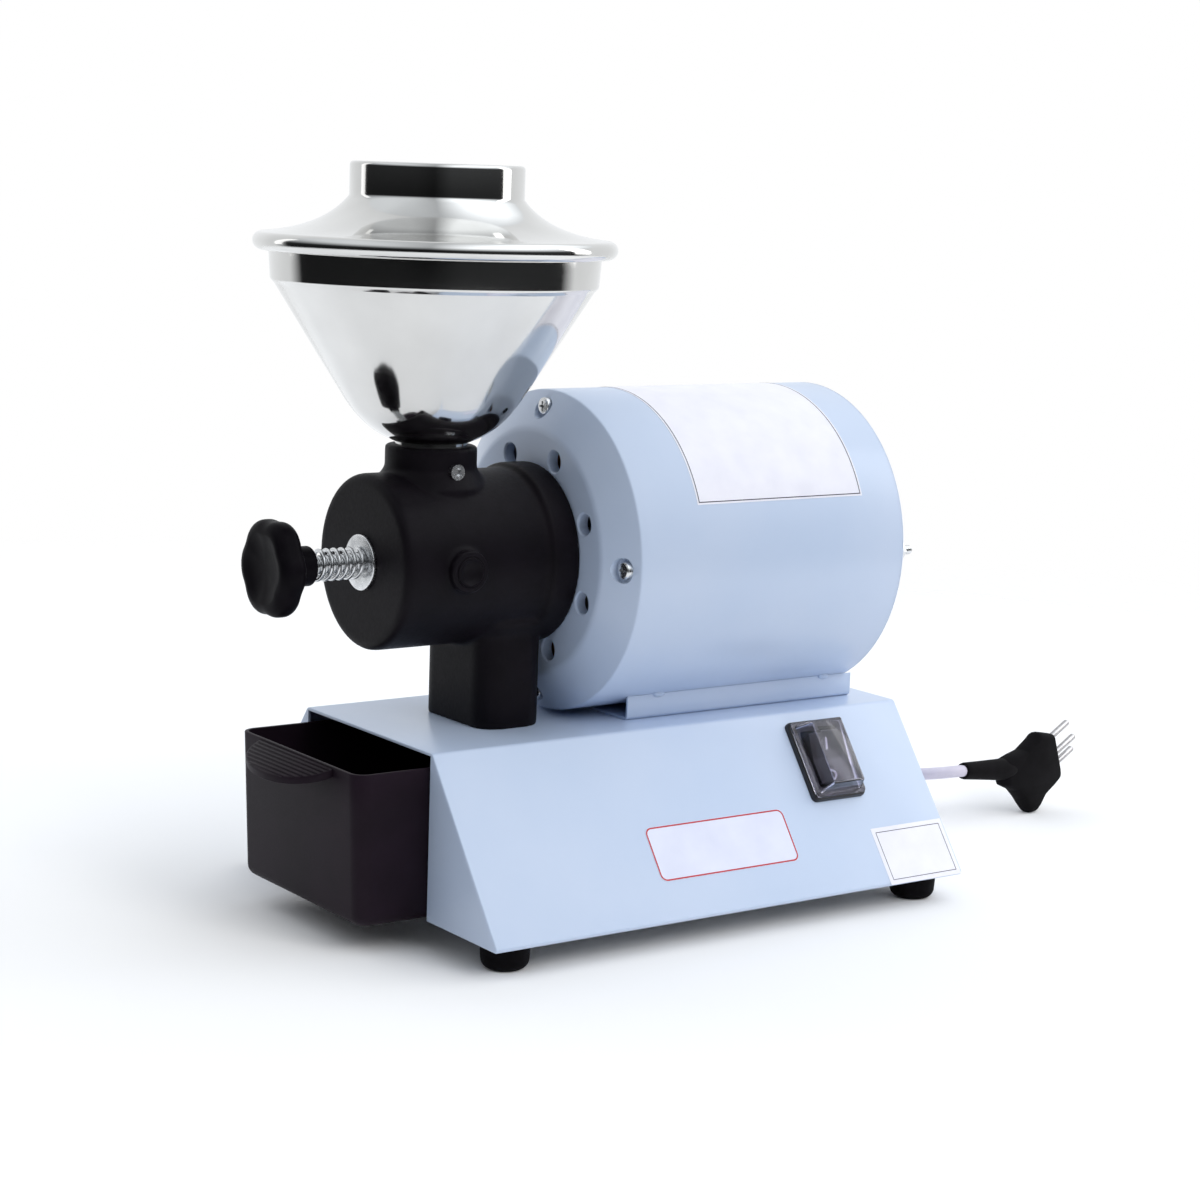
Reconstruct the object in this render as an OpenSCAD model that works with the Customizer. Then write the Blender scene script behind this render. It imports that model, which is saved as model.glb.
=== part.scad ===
// Electric coffee grinder with a spun hopper, a cast mill on the nose of its motor,
// a folded sheet-metal base, and a drawer that catches the ground coffee.
// X runs across the grinder, Y from the knob to the cord, Z up from the table.

/* [Base] */
// Length of the folded base
base_len = 300; // [280:1:330]
// Width of the flat top of the base
base_top_w = 124; // [116:1:140]
// Width of the base at its lower edge
base_bottom_w = 250; // [230:1:270]
// Height of the base without its feet
base_h = 85; // [80:1:95]
// Thickness of the base sheet
base_sheet = 1.5; // [1:0.1:2]
// Width of the lips folded inward at the lower edge
base_lip = 30; // [26:1:34]
// Thickness of the plate that closes the underside
plate_t = 1.2; // [0.8:0.1:2]
// Distance of the bottom plate from the edges of the base
plate_inset = 6; // [3:1:10]

/* [Feet] */
// Diameter of a rubber foot
foot_d = 25; // [20:1:30]
// Height of the lower edge of the base above the table
foot_h = 14; // [10:1:20]
// Distance of a foot from the side edge of the base
foot_in_x = 21; // [18:1:24]
// Distance of a foot from the end of the base
foot_in_y = 18; // [16:1:26]
// Diameter of a foot screw
foot_screw_d = 4.8; // [4:0.1:6]

/* [Drawer] */
// Outside width of the drawer
drawer_w = 120; // [100:1:121]
// Length of the drawer at its rim
drawer_len = 130; // [110:1:135]
// Height of the drawer
drawer_h = 77; // [60:1:81]
// Wall of the drawer
drawer_wall = 2.2; // [1.5:0.1:3]
// Radius of the upright corners of the drawer
drawer_corner = 8; // [5:0.5:12]
// How much the end walls of the drawer lean in toward its floor
drawer_lean = 3; // [0:0.5:5]
// How far the drawer stands out of the base
drawer_out = 41; // [30:1:60]
// Width of the finger ledge
ledge_w = 74; // [60:1:90]
// How far the finger ledge stands out
ledge_out = 19.5; // [12:0.5:20.5]
// Gap between the drawer and what guides it
slide_gap = 0.8; // [0.4:0.1:1.2]

/* [Mill] */
// How far the mill stands out over the front of the base
mill_overhang = 5; // [0:1:10]
// Length of the mill body
mill_len = 100.5; // [98:0.5:106]
// Outside radius of the mill body
mill_r = 44.5; // [43:0.5:46]
// Radius of the flange that meets the motor
flange_r = 47; // [46.5:0.5:48]
// Thickness of that flange
flange_t = 17; // [14:1:20]
// Radius of the grinding chamber
chamber_r = 35; // [34:0.5:36]
// Thickness of the front wall of the mill
front_wall = 12; // [8:0.5:13]
// Width of the spout
spout_w = 62; // [50:1:66]
// Depth of the spout
spout_d = 38; // [32:1:40]
// Wall of the spout
spout_wall = 4; // [3:0.5:5]

/* [Burrs] */
// Radius of the burrs
burr_r = 33; // [31:0.5:33.5]
// Gap between the burrs
burr_gap = 2; // [1.8:0.1:3]
// Thickness of a burr
burr_t = 8; // [6:0.5:9]
// Outside radius of the feed screw
auger_r = 27; // [22:0.5:28]

/* [Hopper] */
// Distance of the hopper axis behind the front of the base
hopper_y = 34; // [32:0.5:38]
// Outside radius of the hopper rim
hopper_r = 83; // [78:0.5:86]
// Height of the hopper from its neck to its rim
hopper_h = 95; // [90:1:105]
// Outside radius of the tube at the foot of the hopper
hopper_tube_r = 18.5; // [17:0.5:19]
// Sheet of the hopper and the lid
hopper_sheet = 1.2; // [0.8:0.1:1.6]
// Outside radius of the neck that holds the hopper
neck_r = 23.3; // [22.5:0.1:25]
// Radius of the brim of the lid
brim_r = 91; // [88:0.5:95]
// Radius of the crown of the lid
crown_r = 43.6; // [38:0.2:48]
// Height of the crown above the rim of the hopper
crown_h = 45; // [40:1:52]

/* [Motor] */
// Outside radius of the motor shell
motor_r = 84.2; // [82.5:0.1:85]
// Length of the motor shell
shell_len = 173; // [165:1:176]
// Wall of the motor shell
shell_wall = 2; // [1.5:0.1:2.5]
// Radius of the flat face of an end bell
bell_face_r = 64.3; // [62:0.1:66]
// Depth of the cone of an end bell
bell_cone = 12; // [10:0.5:13]
// Wall of an end bell
bell_wall = 6; // [5:0.5:7]
// Radius of the circle of vent holes
vent_circle_r = 53; // [52:0.5:55]
// Radius of a vent hole
vent_r = 5.5; // [4:0.5:6]
// Radius of the motor shaft
shaft_r = 8.5; // [8:0.5:9]
// Distance of the tie rods from the motor axis
rod_circle_r = 75.5; // [75:0.5:76]
// Radius of a tie rod
rod_r = 2.5; // [2:0.1:2.6]
// Half the width of the channel under the motor
channel_half = 42; // [38:0.5:46]
// Sheet of that channel
channel_sheet = 1.5; // [1:0.1:1.7]

/* [Adjuster] */
// Diameter of the knob across its lobes
knob_d = 50; // [44:1:52]
// Thickness of the knob
knob_t = 17; // [15:1:20]
// Number of lobes on the knob
knob_lobes = 6; // [5:1:8]
// Length of the knob hub
hub_l = 10; // [8:1:13]
// Radius of the knob hub
hub_r = 10; // [8.5:0.5:11]
// Radius of the adjusting screw
screw_r = 5; // [4:0.5:5.5]
// Radius of the washer under the spring
washer_r = 14.25; // [12:0.25:16]
// Thickness of that washer
washer_t = 2; // [1.5:0.1:2.5]
// Length of the spring
spring_l = 28; // [24:1:32]
// Outside radius of the spring
spring_r = 8.3; // [8:0.1:9]
// Diameter of the spring wire
spring_wire = 2; // [1.6:0.1:2.2]
// Number of curls of the spring
spring_curls = 6; // [5:1:7]

/* [Switch] */
// Distance of the switch behind the front of the base
switch_y = 236; // [200:1:255]
// Distance of the switch centre down the slope from the top edge
switch_s = 30; // [27:0.5:45]
// Width of the switch frame along the base
switch_w = 36; // [32:0.5:38]
// Height of the switch frame down the slope
switch_l = 46; // [42:0.5:48]
// Height of the clear cover over the switch
cover_h = 10.5; // [10:0.5:14]

/* [Cord] */
// Diameter of the mains cord
cord_d = 7; // [6:0.1:7.2]
// Length of the sleeve where the cord leaves the base
gland_l = 25; // [20:1:26]

/* [Hidden] */
$fn = 64;

// Clearances
fit = 0.05;
loose = 0.3;
hole_gap = 0.2;
eps = 0.01;

// Heights and places that follow from the sizes above
base_z = foot_h;
top_z = base_z + base_h;
web_gap = 0.3;
axis_z = top_z + channel_sheet + web_gap + motor_r;
mill_y = -mill_overhang;
bell_y = mill_y + mill_len;
shell_y = bell_y + bell_cone;
shell_end = shell_y + shell_len;
rear_y = shell_end + bell_cone;
washer_y = mill_y - washer_t;
spring_y = washer_y - spring_l;
hub_y = spring_y - hub_l;
knob_y = hub_y - knob_t;
y_mid = (knob_y + base_len) / 2;
side_run = (base_bottom_w - base_top_w) / 2;
slope_len = sqrt(side_run * side_run + base_h * base_h);
slope_turn = atan2(base_h, side_run);
sheet_x = base_sheet * slope_len / base_h;
mouth_w = drawer_w + 2 * slide_gap;

function side_x(z) = base_bottom_w / 2 - side_run * (z - base_z) / base_h;
function arc(c, r, a0, a1, n) = [for (i = [0 : n])
    let (a = a0 + (a1 - a0) * i / n)
    c + r * [cos(a), sin(a)]];
function unit(v) = v / norm(v);

// Points on a curve that leaves a and reaches c, drawn toward b
function bend(a, b, c, n) = [for (i = [0 : n])
    let (t = i / n)
    (1 - t) * (1 - t) * a + 2 * t * (1 - t) * b + t * t * c];

// Puts the origin under the middle of the grinder
module place() translate([0, -y_mid, 0]) children();

// A flat outline in X and Z, carried from y0 to y1
module along_y(y0, y1) translate([0, y1, 0]) rotate([90, 0, 0]) linear_extrude(y1 - y0) children();

// A flat outline in Y and Z, carried from x0 to x1
module along_x(x0, x1) translate([x0, 0, 0]) rotate([90, 0, 90]) linear_extrude(x1 - x0) children();

// A rod on the motor axis
module rod(r, y0, y1) translate([0, y0, axis_z]) rotate([-90, 0, 0]) cylinder(r = r, h = y1 - y0);

// A profile of radius and Y turned about the motor axis
module turned(profile) translate([0, 0, axis_z]) rotate([-90, 0, 0]) rotate_extrude() polygon(profile);

// Copies round the motor axis
module round_axis(count, r, first = 0)
    for (i = [0 : count - 1]) {
        a = first + 360 * i / count;
        translate([r * cos(a), 0, axis_z + r * sin(a)]) children();
    }

module pin_y(r, y0, y1) translate([0, y0, 0]) rotate([-90, 0, 0]) cylinder(r = r, h = y1 - y0);

module hex_y(across, y0, y1) translate([0, y0, 0]) rotate([-90, 0, 0])
    cylinder(r = across / sqrt(3), h = y1 - y0, $fn = 6);

module round_rect(w, l, r) {
    square([w - 2 * r, l], center = true);
    square([w, l - 2 * r], center = true);
    for (x = [-1, 1], y = [-1, 1])
        translate([x * (w / 2 - r), y * (l / 2 - r)]) circle(r);
}

// Local frame on the sloped side: X down the slope, Y along the base, Z outward
module on_slope(y, s)
    translate([base_top_w / 2 + side_run * s / slope_len, y, top_z - base_h * s / slope_len])
        rotate([0, slope_turn, 0]) children();

// A tube of given radius through a list of points; side_axis is never along the path
function ring_at(p, i, r, sides, side_axis) =
    let (last = len(p) - 1,
        t = unit(p[min(i + 1, last)] - p[max(i - 1, 0)]),
        a = unit(cross(t, side_axis)),
        b = cross(a, t))
    [for (k = [0 : sides - 1]) p[i] + r * (cos(360 * k / sides) * a + sin(360 * k / sides) * b)];

// A closed skin over rings of points that go clockwise about the way they travel
module skin(rings) {
    n = len(rings);
    sides = len(rings[0]);
    walls = [for (i = [0 : n - 2], k = [0 : sides - 1])
        let (a = i * sides + k, b = i * sides + (k + 1) % sides)
        each [[a, a + sides, b], [b, a + sides, b + sides]]];
    first = [for (k = [1 : sides - 2]) [0, k, k + 1]];
    end = (n - 1) * sides;
    last = [for (k = [1 : sides - 2]) [end, end + k + 1, end + k]];
    polyhedron([for (ring = rings) each ring], concat(walls, first, last));
}

module tube(p, r, sides, side_axis) skin([for (i = [0 : len(p) - 1]) ring_at(p, i, r, sides, side_axis)]);

// Least distance between points of a wound path that are at least half a turn apart
function least_gap(p, skip, d) =
    min([for (i = [0 : len(p) - 1 - skip], j = [i + skip : len(p) - 1]) norm(p[i] - p[j])]) - d;

// Base

module base_outline() polygon([[-base_bottom_w / 2, base_z], [base_bottom_w / 2, base_z],
    [base_top_w / 2, top_z], [-base_top_w / 2, top_z]]);

module base_cavity() {
    low = side_x(base_z - 1) - sheet_x;
    high = side_x(top_z - base_sheet) - sheet_x;
    polygon([[-low, base_z - 1], [low, base_z - 1],
        [high, top_z - base_sheet], [-high, top_z - base_sheet]]);
}

module base_lips() for (side = [0, 1]) mirror([side, 0, 0])
    polygon([[side_x(base_z) - base_lip, base_z], [side_x(base_z) - sheet_x / 2, base_z],
        [side_x(base_z + base_sheet) - sheet_x / 2, base_z + base_sheet],
        [side_x(base_z) - base_lip, base_z + base_sheet]]);

foot_x = base_bottom_w / 2 - foot_in_x;
foot_hole_r = foot_screw_d / 2 + hole_gap;

module at_feet()
    for (x = [-foot_x, foot_x], y = [foot_in_y, base_len - foot_in_y])
        translate([x, y, 0]) children();

spout_back = 7.5;
spout_y = bell_y - spout_back - spout_d / 2;
spout_corner = 12;

bolt_r = 3;
bolt_x = channel_half - 10;
channel_y0 = shell_y + 24.5;
channel_y1 = shell_end + 4.5;
bolt_inset = 18;

module at_channel_bolts()
    for (x = [-bolt_x, bolt_x], y = [channel_y0 + bolt_inset, channel_y1 - bolt_inset])
        translate([x, y, 0]) children();

switch_body_w = switch_w - 9;
switch_body_l = switch_l - 9;
gland_x = -42;
gland_z = 26;
gland_r = 9;
gland_step = 3;
gland_collar = 3;
gland_in = 4;
sleeve_r = 4.8;

module base_shell() color("#cfdcee") difference() {
    union() {
        difference() {
            along_y(0, base_len) base_outline();
            along_y(base_sheet, base_len - base_sheet) base_cavity();
        }
        along_y(base_sheet / 2, base_len - base_sheet / 2) base_lips();
    }
    translate([-mouth_w / 2, -1, base_z - 1]) cube([mouth_w, base_sheet + 2, base_h - base_sheet + 1]);
    translate([0, spout_y, top_z - base_sheet - 1]) linear_extrude(base_sheet + 2)
        round_rect(spout_w - 2 * spout_wall, spout_d - 2 * spout_wall, spout_corner - spout_wall);
    at_channel_bolts() translate([0, 0, top_z - base_sheet - 1])
        cylinder(r = bolt_r + hole_gap, h = base_sheet + 2);
    at_feet() translate([0, 0, base_z - 1]) cylinder(r = foot_hole_r, h = base_sheet + 2);
    on_slope(switch_y, switch_s)
        cube([switch_body_l + 2 * hole_gap, switch_body_w + 2 * hole_gap, 4 * base_sheet], center = true);
    translate([gland_x, 0, gland_z]) pin_y(gland_r - gland_step, base_len - base_sheet - 1, base_len + 1);
}

module bottom_plate() color("#9aa3ad") difference() {
    translate([-base_bottom_w / 2 + plate_inset, plate_inset, base_z - plate_t])
        cube([base_bottom_w - 2 * plate_inset, base_len - 2 * plate_inset, plate_t]);
    at_feet() translate([0, 0, base_z - plate_t - 1]) cylinder(r = foot_hole_r, h = plate_t + 2);
}

// The drawer at the place where the photographed one stands

drawer_gap_z = 0.5;
drawer_z = base_z + drawer_gap_z;
drawer_y0 = -drawer_out;
drawer_y1 = drawer_y0 + drawer_len;
drawer_in_y = drawer_len - 1;
guide_t = 1.2;
guide_h = 26;
guide_foot = 14;
stop_w = 8;

module drawer_guide() {
    along_y(plate_inset, drawer_in_y + loose + guide_t) {
        translate([mouth_w / 2, base_z]) square([guide_t, guide_h]);
        translate([mouth_w / 2, base_z]) square([guide_foot, guide_t]);
    }
    translate([mouth_w / 2 - stop_w, drawer_in_y + loose, base_z])
        cube([stop_w + guide_t, guide_t, guide_h]);
}

module drawer_guide_left() color("#8f98a2") mirror([1, 0, 0]) drawer_guide();
module drawer_guide_right() color("#8f98a2") drawer_guide();

module drawer_block(wall, floor) {
    lean_at = drawer_lean * (drawer_h - floor) / drawer_h;
    intersection() {
        translate([0, (drawer_y0 + drawer_y1) / 2, drawer_z + floor]) linear_extrude(drawer_h)
            round_rect(drawer_w - 2 * wall, drawer_len - 2 * wall, drawer_corner - wall);
        along_x(-drawer_w, drawer_w) polygon([
            [drawer_y0 + wall + lean_at, drawer_z + floor], [drawer_y1 - wall - lean_at, drawer_z + floor],
            [drawer_y1 - wall, drawer_z + drawer_h + (floor > 0 ? 1 : 0)],
            [drawer_y0 + wall, drawer_z + drawer_h + (floor > 0 ? 1 : 0)]]);
    }
}

ledge_drop = 1;
ledge_fall = 6.5;
ledge_t = 4;
ledge_top = drawer_z + drawer_h - ledge_drop;
ledge_nose = ledge_top - ledge_fall;
ledge_low = ledge_nose - ledge_t;
ledge_steps = 24;

// Half an oval plate that falls away from the front wall
ledge_outline = [for (i = [0 : ledge_steps])
    let (a = 180 * i / ledge_steps)
    [ledge_w / 2 * cos(a), drawer_y0 - ledge_out * sin(a)]];

module finger_ledge() {
    root_y = drawer_y0 + drawer_wall + drawer_lean / 2;
    tip_y = drawer_y0 - ledge_out;
    difference() {
        intersection() {
            translate([0, 0, ledge_low]) linear_extrude(ledge_top - ledge_low)
                polygon(concat(ledge_outline, [[-ledge_w / 2, root_y], [ledge_w / 2, root_y]]));
            along_x(-ledge_w / 2, ledge_w / 2) polygon([
                [root_y, ledge_top - ledge_t], [drawer_y0, ledge_top - ledge_t], [tip_y, ledge_low],
                [tip_y, ledge_nose], [drawer_y0, ledge_top], [root_y, ledge_top]]);
        }
        drawer_block(drawer_wall, drawer_wall);
    }
}

module drawer() color("#252128") {
    difference() {
        drawer_block(0, 0);
        drawer_block(drawer_wall, drawer_wall);
    }
    finger_ledge();
}

// Feet

foot_body_h = foot_h - plate_t;
foot_edge = 3;
foot_taper = 1;
foot_well_r = 6;
foot_well_h = 5;

module foot() color("#1b191c") rotate_extrude() polygon(concat(
    [[foot_well_r, 0]],
    arc([foot_d / 2 - foot_taper - foot_edge, foot_edge], foot_edge, -90, 0, 6),
    [[foot_d / 2, foot_body_h], [foot_hole_r, foot_body_h],
        [foot_hole_r, foot_well_h], [foot_well_r, foot_well_h]]));

module foot_front_left() translate([-foot_x, foot_in_y, 0]) foot();
module foot_front_right() translate([foot_x, foot_in_y, 0]) foot();
module foot_rear_left() translate([-foot_x, base_len - foot_in_y, 0]) foot();
module foot_rear_right() translate([foot_x, base_len - foot_in_y, 0]) foot();

screw_head_h = 3;
screw_head_r = 0.95 * foot_screw_d;
nut_h = 4;
screw_tip = 1;
foot_screw_l = base_z + base_sheet + nut_h + screw_tip - foot_well_h;

module foot_screws() color("#b9bcc0") at_feet() {
    translate([0, 0, foot_well_h - screw_head_h]) cylinder(r = screw_head_r, h = screw_head_h);
    translate([0, 0, foot_well_h - eps]) cylinder(r = foot_screw_d / 2, h = foot_screw_l);
    translate([0, 0, base_z + base_sheet]) cylinder(r = foot_screw_d, h = nut_h, $fn = 6);
}

// Switch

frame_t = 3;
frame_corner = 3;
pocket_w = switch_body_w - 5;
pocket_l = switch_body_l - 5;
switch_depth = 20;
pocket_floor = 3;
trunnion_r = 2;
trunnion_in = 1;
rocker_w = pocket_w - 2 * loose;
rocker_l = pocket_l - 3;
rocker_tilt = 8;
rocker_top = 6.5;
rocker_dip = 4.2;
rocker_root = 4;
rocker_low = 6;
cover_wall = 1.2;
blade_w = 6.3;
blade_t = 0.8;
blade_l = 9;

module switch_frame() color("#17161a") on_slope(switch_y, switch_s) difference() {
    union() {
        linear_extrude(frame_t) round_rect(switch_l, switch_w, frame_corner);
        translate([-switch_body_l / 2, -switch_body_w / 2, -switch_depth])
            cube([switch_body_l, switch_body_w, switch_depth + 1]);
    }
    translate([-pocket_l / 2, -pocket_w / 2, pocket_floor - switch_depth])
        cube([pocket_l, pocket_w, switch_depth + frame_t]);
    rocker_shaft(fit);
}

// Trunnions on which the rocker tips
module rocker_shaft(more) rotate([90, 0, 0])
    cylinder(r = trunnion_r + more, h = pocket_w + 2 * (trunnion_in + more), center = true);

module switch_rocker() color("#2b292e") on_slope(switch_y, switch_s) {
    rocker_shaft(0);
    rotate([90, 0, 0]) linear_extrude(rocker_w, center = true) rotate(-rocker_tilt)
        polygon([[-rocker_l / 2, rocker_top], [0, rocker_dip], [rocker_l / 2, rocker_top],
            [rocker_l / 2 - 1.5, 0], [rocker_root, -rocker_low], [-rocker_root, -rocker_low],
            [1.5 - rocker_l / 2, 0]]);
}

cover_foot = 1.2;

cover_l = switch_l - 6;
cover_w = switch_w - 6;
cover_taper_l = 1.5;
cover_taper_w = 4.5;

// Block with sides that lean in, by less along the slope than across it
module leaning_block(l, w, h, low) intersection() {
    rotate([90, 0, 0]) linear_extrude(w, center = true)
        polygon([[-l / 2, low], [l / 2, low], [l / 2, 0], [l / 2 - cover_taper_l, h],
            [cover_taper_l - l / 2, h], [-l / 2, 0]]);
    rotate([90, 0, 90]) linear_extrude(l, center = true)
        polygon([[-w / 2, low], [w / 2, low], [w / 2, 0], [w / 2 - cover_taper_w, h],
            [cover_taper_w - w / 2, h], [-w / 2, 0]]);
}

module switch_cover() color([0.85, 0.88, 0.92, 0.4])
    on_slope(switch_y, switch_s) translate([0, 0, frame_t]) difference() {
        union() {
            linear_extrude(cover_foot) round_rect(switch_l - 2, switch_w - 2, frame_corner - 1);
            leaning_block(cover_l, cover_w, cover_h, 0);
        }
        leaning_block(cover_l - 2 * cover_wall, cover_w - 2 * cover_wall, cover_h - cover_wall, -1);
    }

module switch_terminals() color("#c8a24a") on_slope(switch_y, switch_s)
    for (x = [-1, 1], y = [-1, 1])
        translate([x * switch_body_l / 4, y * switch_body_w / 4, -switch_depth - blade_l / 2])
            cube([blade_t, blade_w, blade_l], center = true);

// Capacitor on the bottom plate

cap_r = 17;
cap_l = 80;
cap_x = -45;
cap_y = 165;
cap_z = base_z + cap_r;
clamp_t = 1.5;
clamp_w = 14;
clamp_foot = 14;
stud_r = 2.5;
stud_x = 6;
stud_l = 8;

module start_capacitor() color("#3a3c42") translate([cap_x, 0, cap_z]) {
    pin_y(cap_r - eps, cap_y, cap_y + cap_l);
    for (x = [-stud_x, stud_x])
        translate([x, 0, 0]) pin_y(stud_r, cap_y + cap_l - eps, cap_y + cap_l + stud_l);
}

clamp_y = cap_y + (cap_l - clamp_w) / 2;

// A round top on straight legs that reach down to low
module clamp_arch(r, low) {
    translate([0, cap_z]) circle(r);
    translate([-r, low]) square([2 * r, cap_z - low]);
}

module capacitor_clamp() color("#b4b8bd") translate([cap_x, clamp_y, 0]) difference() {
    along_y(0, clamp_w) {
        clamp_arch(cap_r + fit + clamp_t, base_z);
        translate([-cap_r - clamp_foot, base_z]) square([2 * (cap_r + clamp_foot), clamp_t]);
    }
    along_y(-1, clamp_w + 1) clamp_arch(cap_r + fit, base_z - 1);
    translate([-2 * cap_r, -1, base_z - 2 * cap_r]) cube([4 * cap_r, clamp_w + 2, 2 * cap_r]);
}

// Motor

spigot_gap = 0.1;
spigot_r = motor_r - shell_wall - spigot_gap;
spigot_l = 6.5;
spigot_wall = 4;
bearing_r = 20;
bearing_w = 12;
bearing_y = bell_y + 4.5;
rear_bearing_r = 17.5;
rear_bearing_w = 10;
rear_bearing_y = shell_end - 8.5;
hub_wall = 6;
rod_head_t = 3.5;
rod_head_w = 8;
pocket_r = 6.5;
pocket_depth = 9;
mill_screw_r = 2.5;
mill_screw_circle = (chamber_r + flange_r) / 2;
mill_screw_in = flange_t - 6;

module motor_shell() color("#b9c8e1") rod_tube(motor_r, motor_r - shell_wall, shell_y, shell_end);

module rod_tube(r1, r0, y0, y1) turned([[r0, y0], [r1, y0], [r1, y1], [r0, y1]]);

bell_inner_r = bell_face_r - 2;

module front_bell() color("#b9c8e1") difference() {
    turned([[shaft_r + 1, bell_y], [bell_face_r, bell_y], [motor_r, shell_y], [spigot_r, shell_y],
        [spigot_r, shell_y + spigot_l], [spigot_r - spigot_wall, shell_y + spigot_l],
        [spigot_r - spigot_wall, shell_y + 1], [bell_inner_r, bell_y + bell_wall],
        [bearing_r + hub_wall, bell_y + bell_wall], [bearing_r + hub_wall, bearing_y + bearing_w],
        [bearing_r + fit, bearing_y + bearing_w], [bearing_r + fit, bearing_y], [shaft_r + 1, bearing_y]]);
    round_axis(8, vent_circle_r, 22.5) pin_y(vent_r, bell_y - 1, shell_y);
    round_axis(4, rod_circle_r) {
        pin_y(pocket_r, bell_y - 1, bell_y + pocket_depth);
        pin_y(rod_r + hole_gap, bell_y, shell_y + 2);
    }
    round_axis(4, mill_screw_circle, 45)
        pin_y(mill_screw_r + hole_gap, bell_y - 1, bell_y + bell_wall + 1);
}

rear_cap = 5;

module rear_bell() color("#b9c8e1") difference() {
    turned([[0, rear_y], [bell_face_r, rear_y], [motor_r, shell_end], [spigot_r, shell_end],
        [spigot_r, shell_end - spigot_l], [spigot_r - spigot_wall, shell_end - spigot_l],
        [spigot_r - spigot_wall, shell_end - 1], [bell_inner_r, rear_y - bell_wall],
        [rear_bearing_r + hub_wall, rear_y - bell_wall], [rear_bearing_r + hub_wall, rear_bearing_y],
        [rear_bearing_r + fit, rear_bearing_y], [rear_bearing_r + fit, rear_y - rear_cap],
        [0, rear_y - rear_cap]]);
    round_axis(8, vent_circle_r, 22.5) pin_y(vent_r, shell_end, rear_y + 1);
    round_axis(4, rod_circle_r) {
        pin_y(pocket_r, rear_y - pocket_depth, rear_y + 1);
        pin_y(rod_r + hole_gap, shell_end - 2, rear_y);
    }
}

rod_tip = 0.7;
rod_end = rear_y + rod_tip;

module tie_rods() color("#b9bcc0") round_axis(4, rod_circle_r) {
    hex_y(rod_head_w, bell_y + pocket_depth - rod_head_t, bell_y + pocket_depth);
    pin_y(rod_r, bell_y + pocket_depth - eps, rod_end);
    hex_y(rod_head_w, rear_y - pocket_depth, rear_y - pocket_depth + nut_h);
}

stator_front = 42.5;
stator_rear = 55.5;
stator_y0 = shell_y + stator_front;
stator_y1 = shell_end - stator_rear;
stator_in_r = 47;
stator_slots = 24;
slot_w = 5;
slot_depth = 14;
winding_l = 22;
rotor_gap = 0.6;

module stator_core() color("#6f757c") difference() {
    rod_tube(spigot_r, stator_in_r, stator_y0, stator_y1);
    round_axis(4, rod_circle_r) pin_y(rod_r + 0.5, stator_y0 - 1, stator_y1 + 1);
    for (i = [0 : stator_slots - 1])
        translate([0, 0, axis_z]) rotate([0, 360 * (i + 0.5) / stator_slots, 0])
            translate([stator_in_r - 2, stator_y0 - 1, -slot_w / 2])
                cube([slot_depth + 2, stator_y1 - stator_y0 + 2, slot_w]);
}

module winding_ring(y0, y1) {
    mid_y = (y0 + y1) / 2;
    half = (y1 - y0) / 2;
    turned(concat(arc([stator_in_r + 3 + half, mid_y], half, 90, 270, 12),
        arc([rod_circle_r - rod_r - 1 - half, mid_y], half, -90, 90, 12)));
}

module stator_windings() color("#b8652f") {
    winding_ring(stator_y0 - winding_l, stator_y0);
    winding_ring(stator_y1, stator_y1 + winding_l);
}

module bearing(outer_r, y0, w) {
    step = (outer_r - shaft_r) / 4;
    turned([[shaft_r + fit, y0], [shaft_r + step, y0], [shaft_r + step, y0 + 1],
        [outer_r - step, y0 + 1], [outer_r - step, y0], [outer_r, y0],
        [outer_r, y0 + w], [outer_r - step, y0 + w], [outer_r - step, y0 + w - 1],
        [shaft_r + step, y0 + w - 1], [shaft_r + step, y0 + w], [shaft_r + fit, y0 + w]]);
}

module front_bearing() color("#c3c7cc") bearing(bearing_r, bearing_y, bearing_w);
module rear_bearing() color("#c3c7cc") bearing(rear_bearing_r, rear_bearing_y, rear_bearing_w);

// Turning parts

wall_y = mill_y + front_wall;
feed_travel = 1.5;
carrier_y = wall_y + feed_travel + 0.5;
carrier_l = 43;
carrier_end = carrier_y + carrier_l;
fixed_burr_end = carrier_end + burr_t;
burr_y = fixed_burr_end + burr_gap;
burr_hub_r = 14;
carrier_wall = 4;
carrier_front = 8;
shaft_y = carrier_y + carrier_front + 2;
auger_y = shaft_y + 1;
auger_end = burr_y - burr_t - burr_gap - 2;
auger_pitch = 15;
auger_core_r = shaft_r + 3;
shaft_step = 2;

module motor_shaft() color("#aab0b6") {
    rod(shaft_r, shaft_y, rear_bearing_y + rear_bearing_w);
    rod(shaft_r + shaft_step, bearing_y + bearing_w + 2, rear_bearing_y - 1);
}

rotor_r = stator_in_r - rotor_gap;
end_ring_drop = 8;
end_ring_l = 6;

module rotor_core() color("#7d838a") difference() {
    union() {
        rod(rotor_r, stator_y0, stator_y1);
        rod(rotor_r - end_ring_drop, stator_y0 - end_ring_l, stator_y1 + end_ring_l);
    }
    rod(shaft_r + shaft_step + fit, stator_y0 - end_ring_l - 1, stator_y1 + end_ring_l + 1);
}

fan_y = stator_y1 + winding_l + 5;
fan_w = 13;
fan_sheet = 2;
fan_hub_r = 16;
fan_blades = 8;
fan_r = rod_circle_r - rod_r - 5;

module cooling_fan() color("#34363b") difference() {
    union() {
        rod(fan_hub_r, fan_y, fan_y + fan_w);
        rod(fan_r, fan_y, fan_y + fan_sheet);
        for (i = [0 : fan_blades - 1])
            translate([0, 0, axis_z]) rotate([0, 360 * i / fan_blades, 0])
                translate([fan_hub_r - fan_sheet, fan_y, -fan_sheet / 2])
                    cube([fan_r - fan_hub_r, fan_w, fan_sheet]);
    }
    rod(shaft_r + shaft_step + fit, fan_y - 1, fan_y + fan_w + 1);
}

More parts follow.
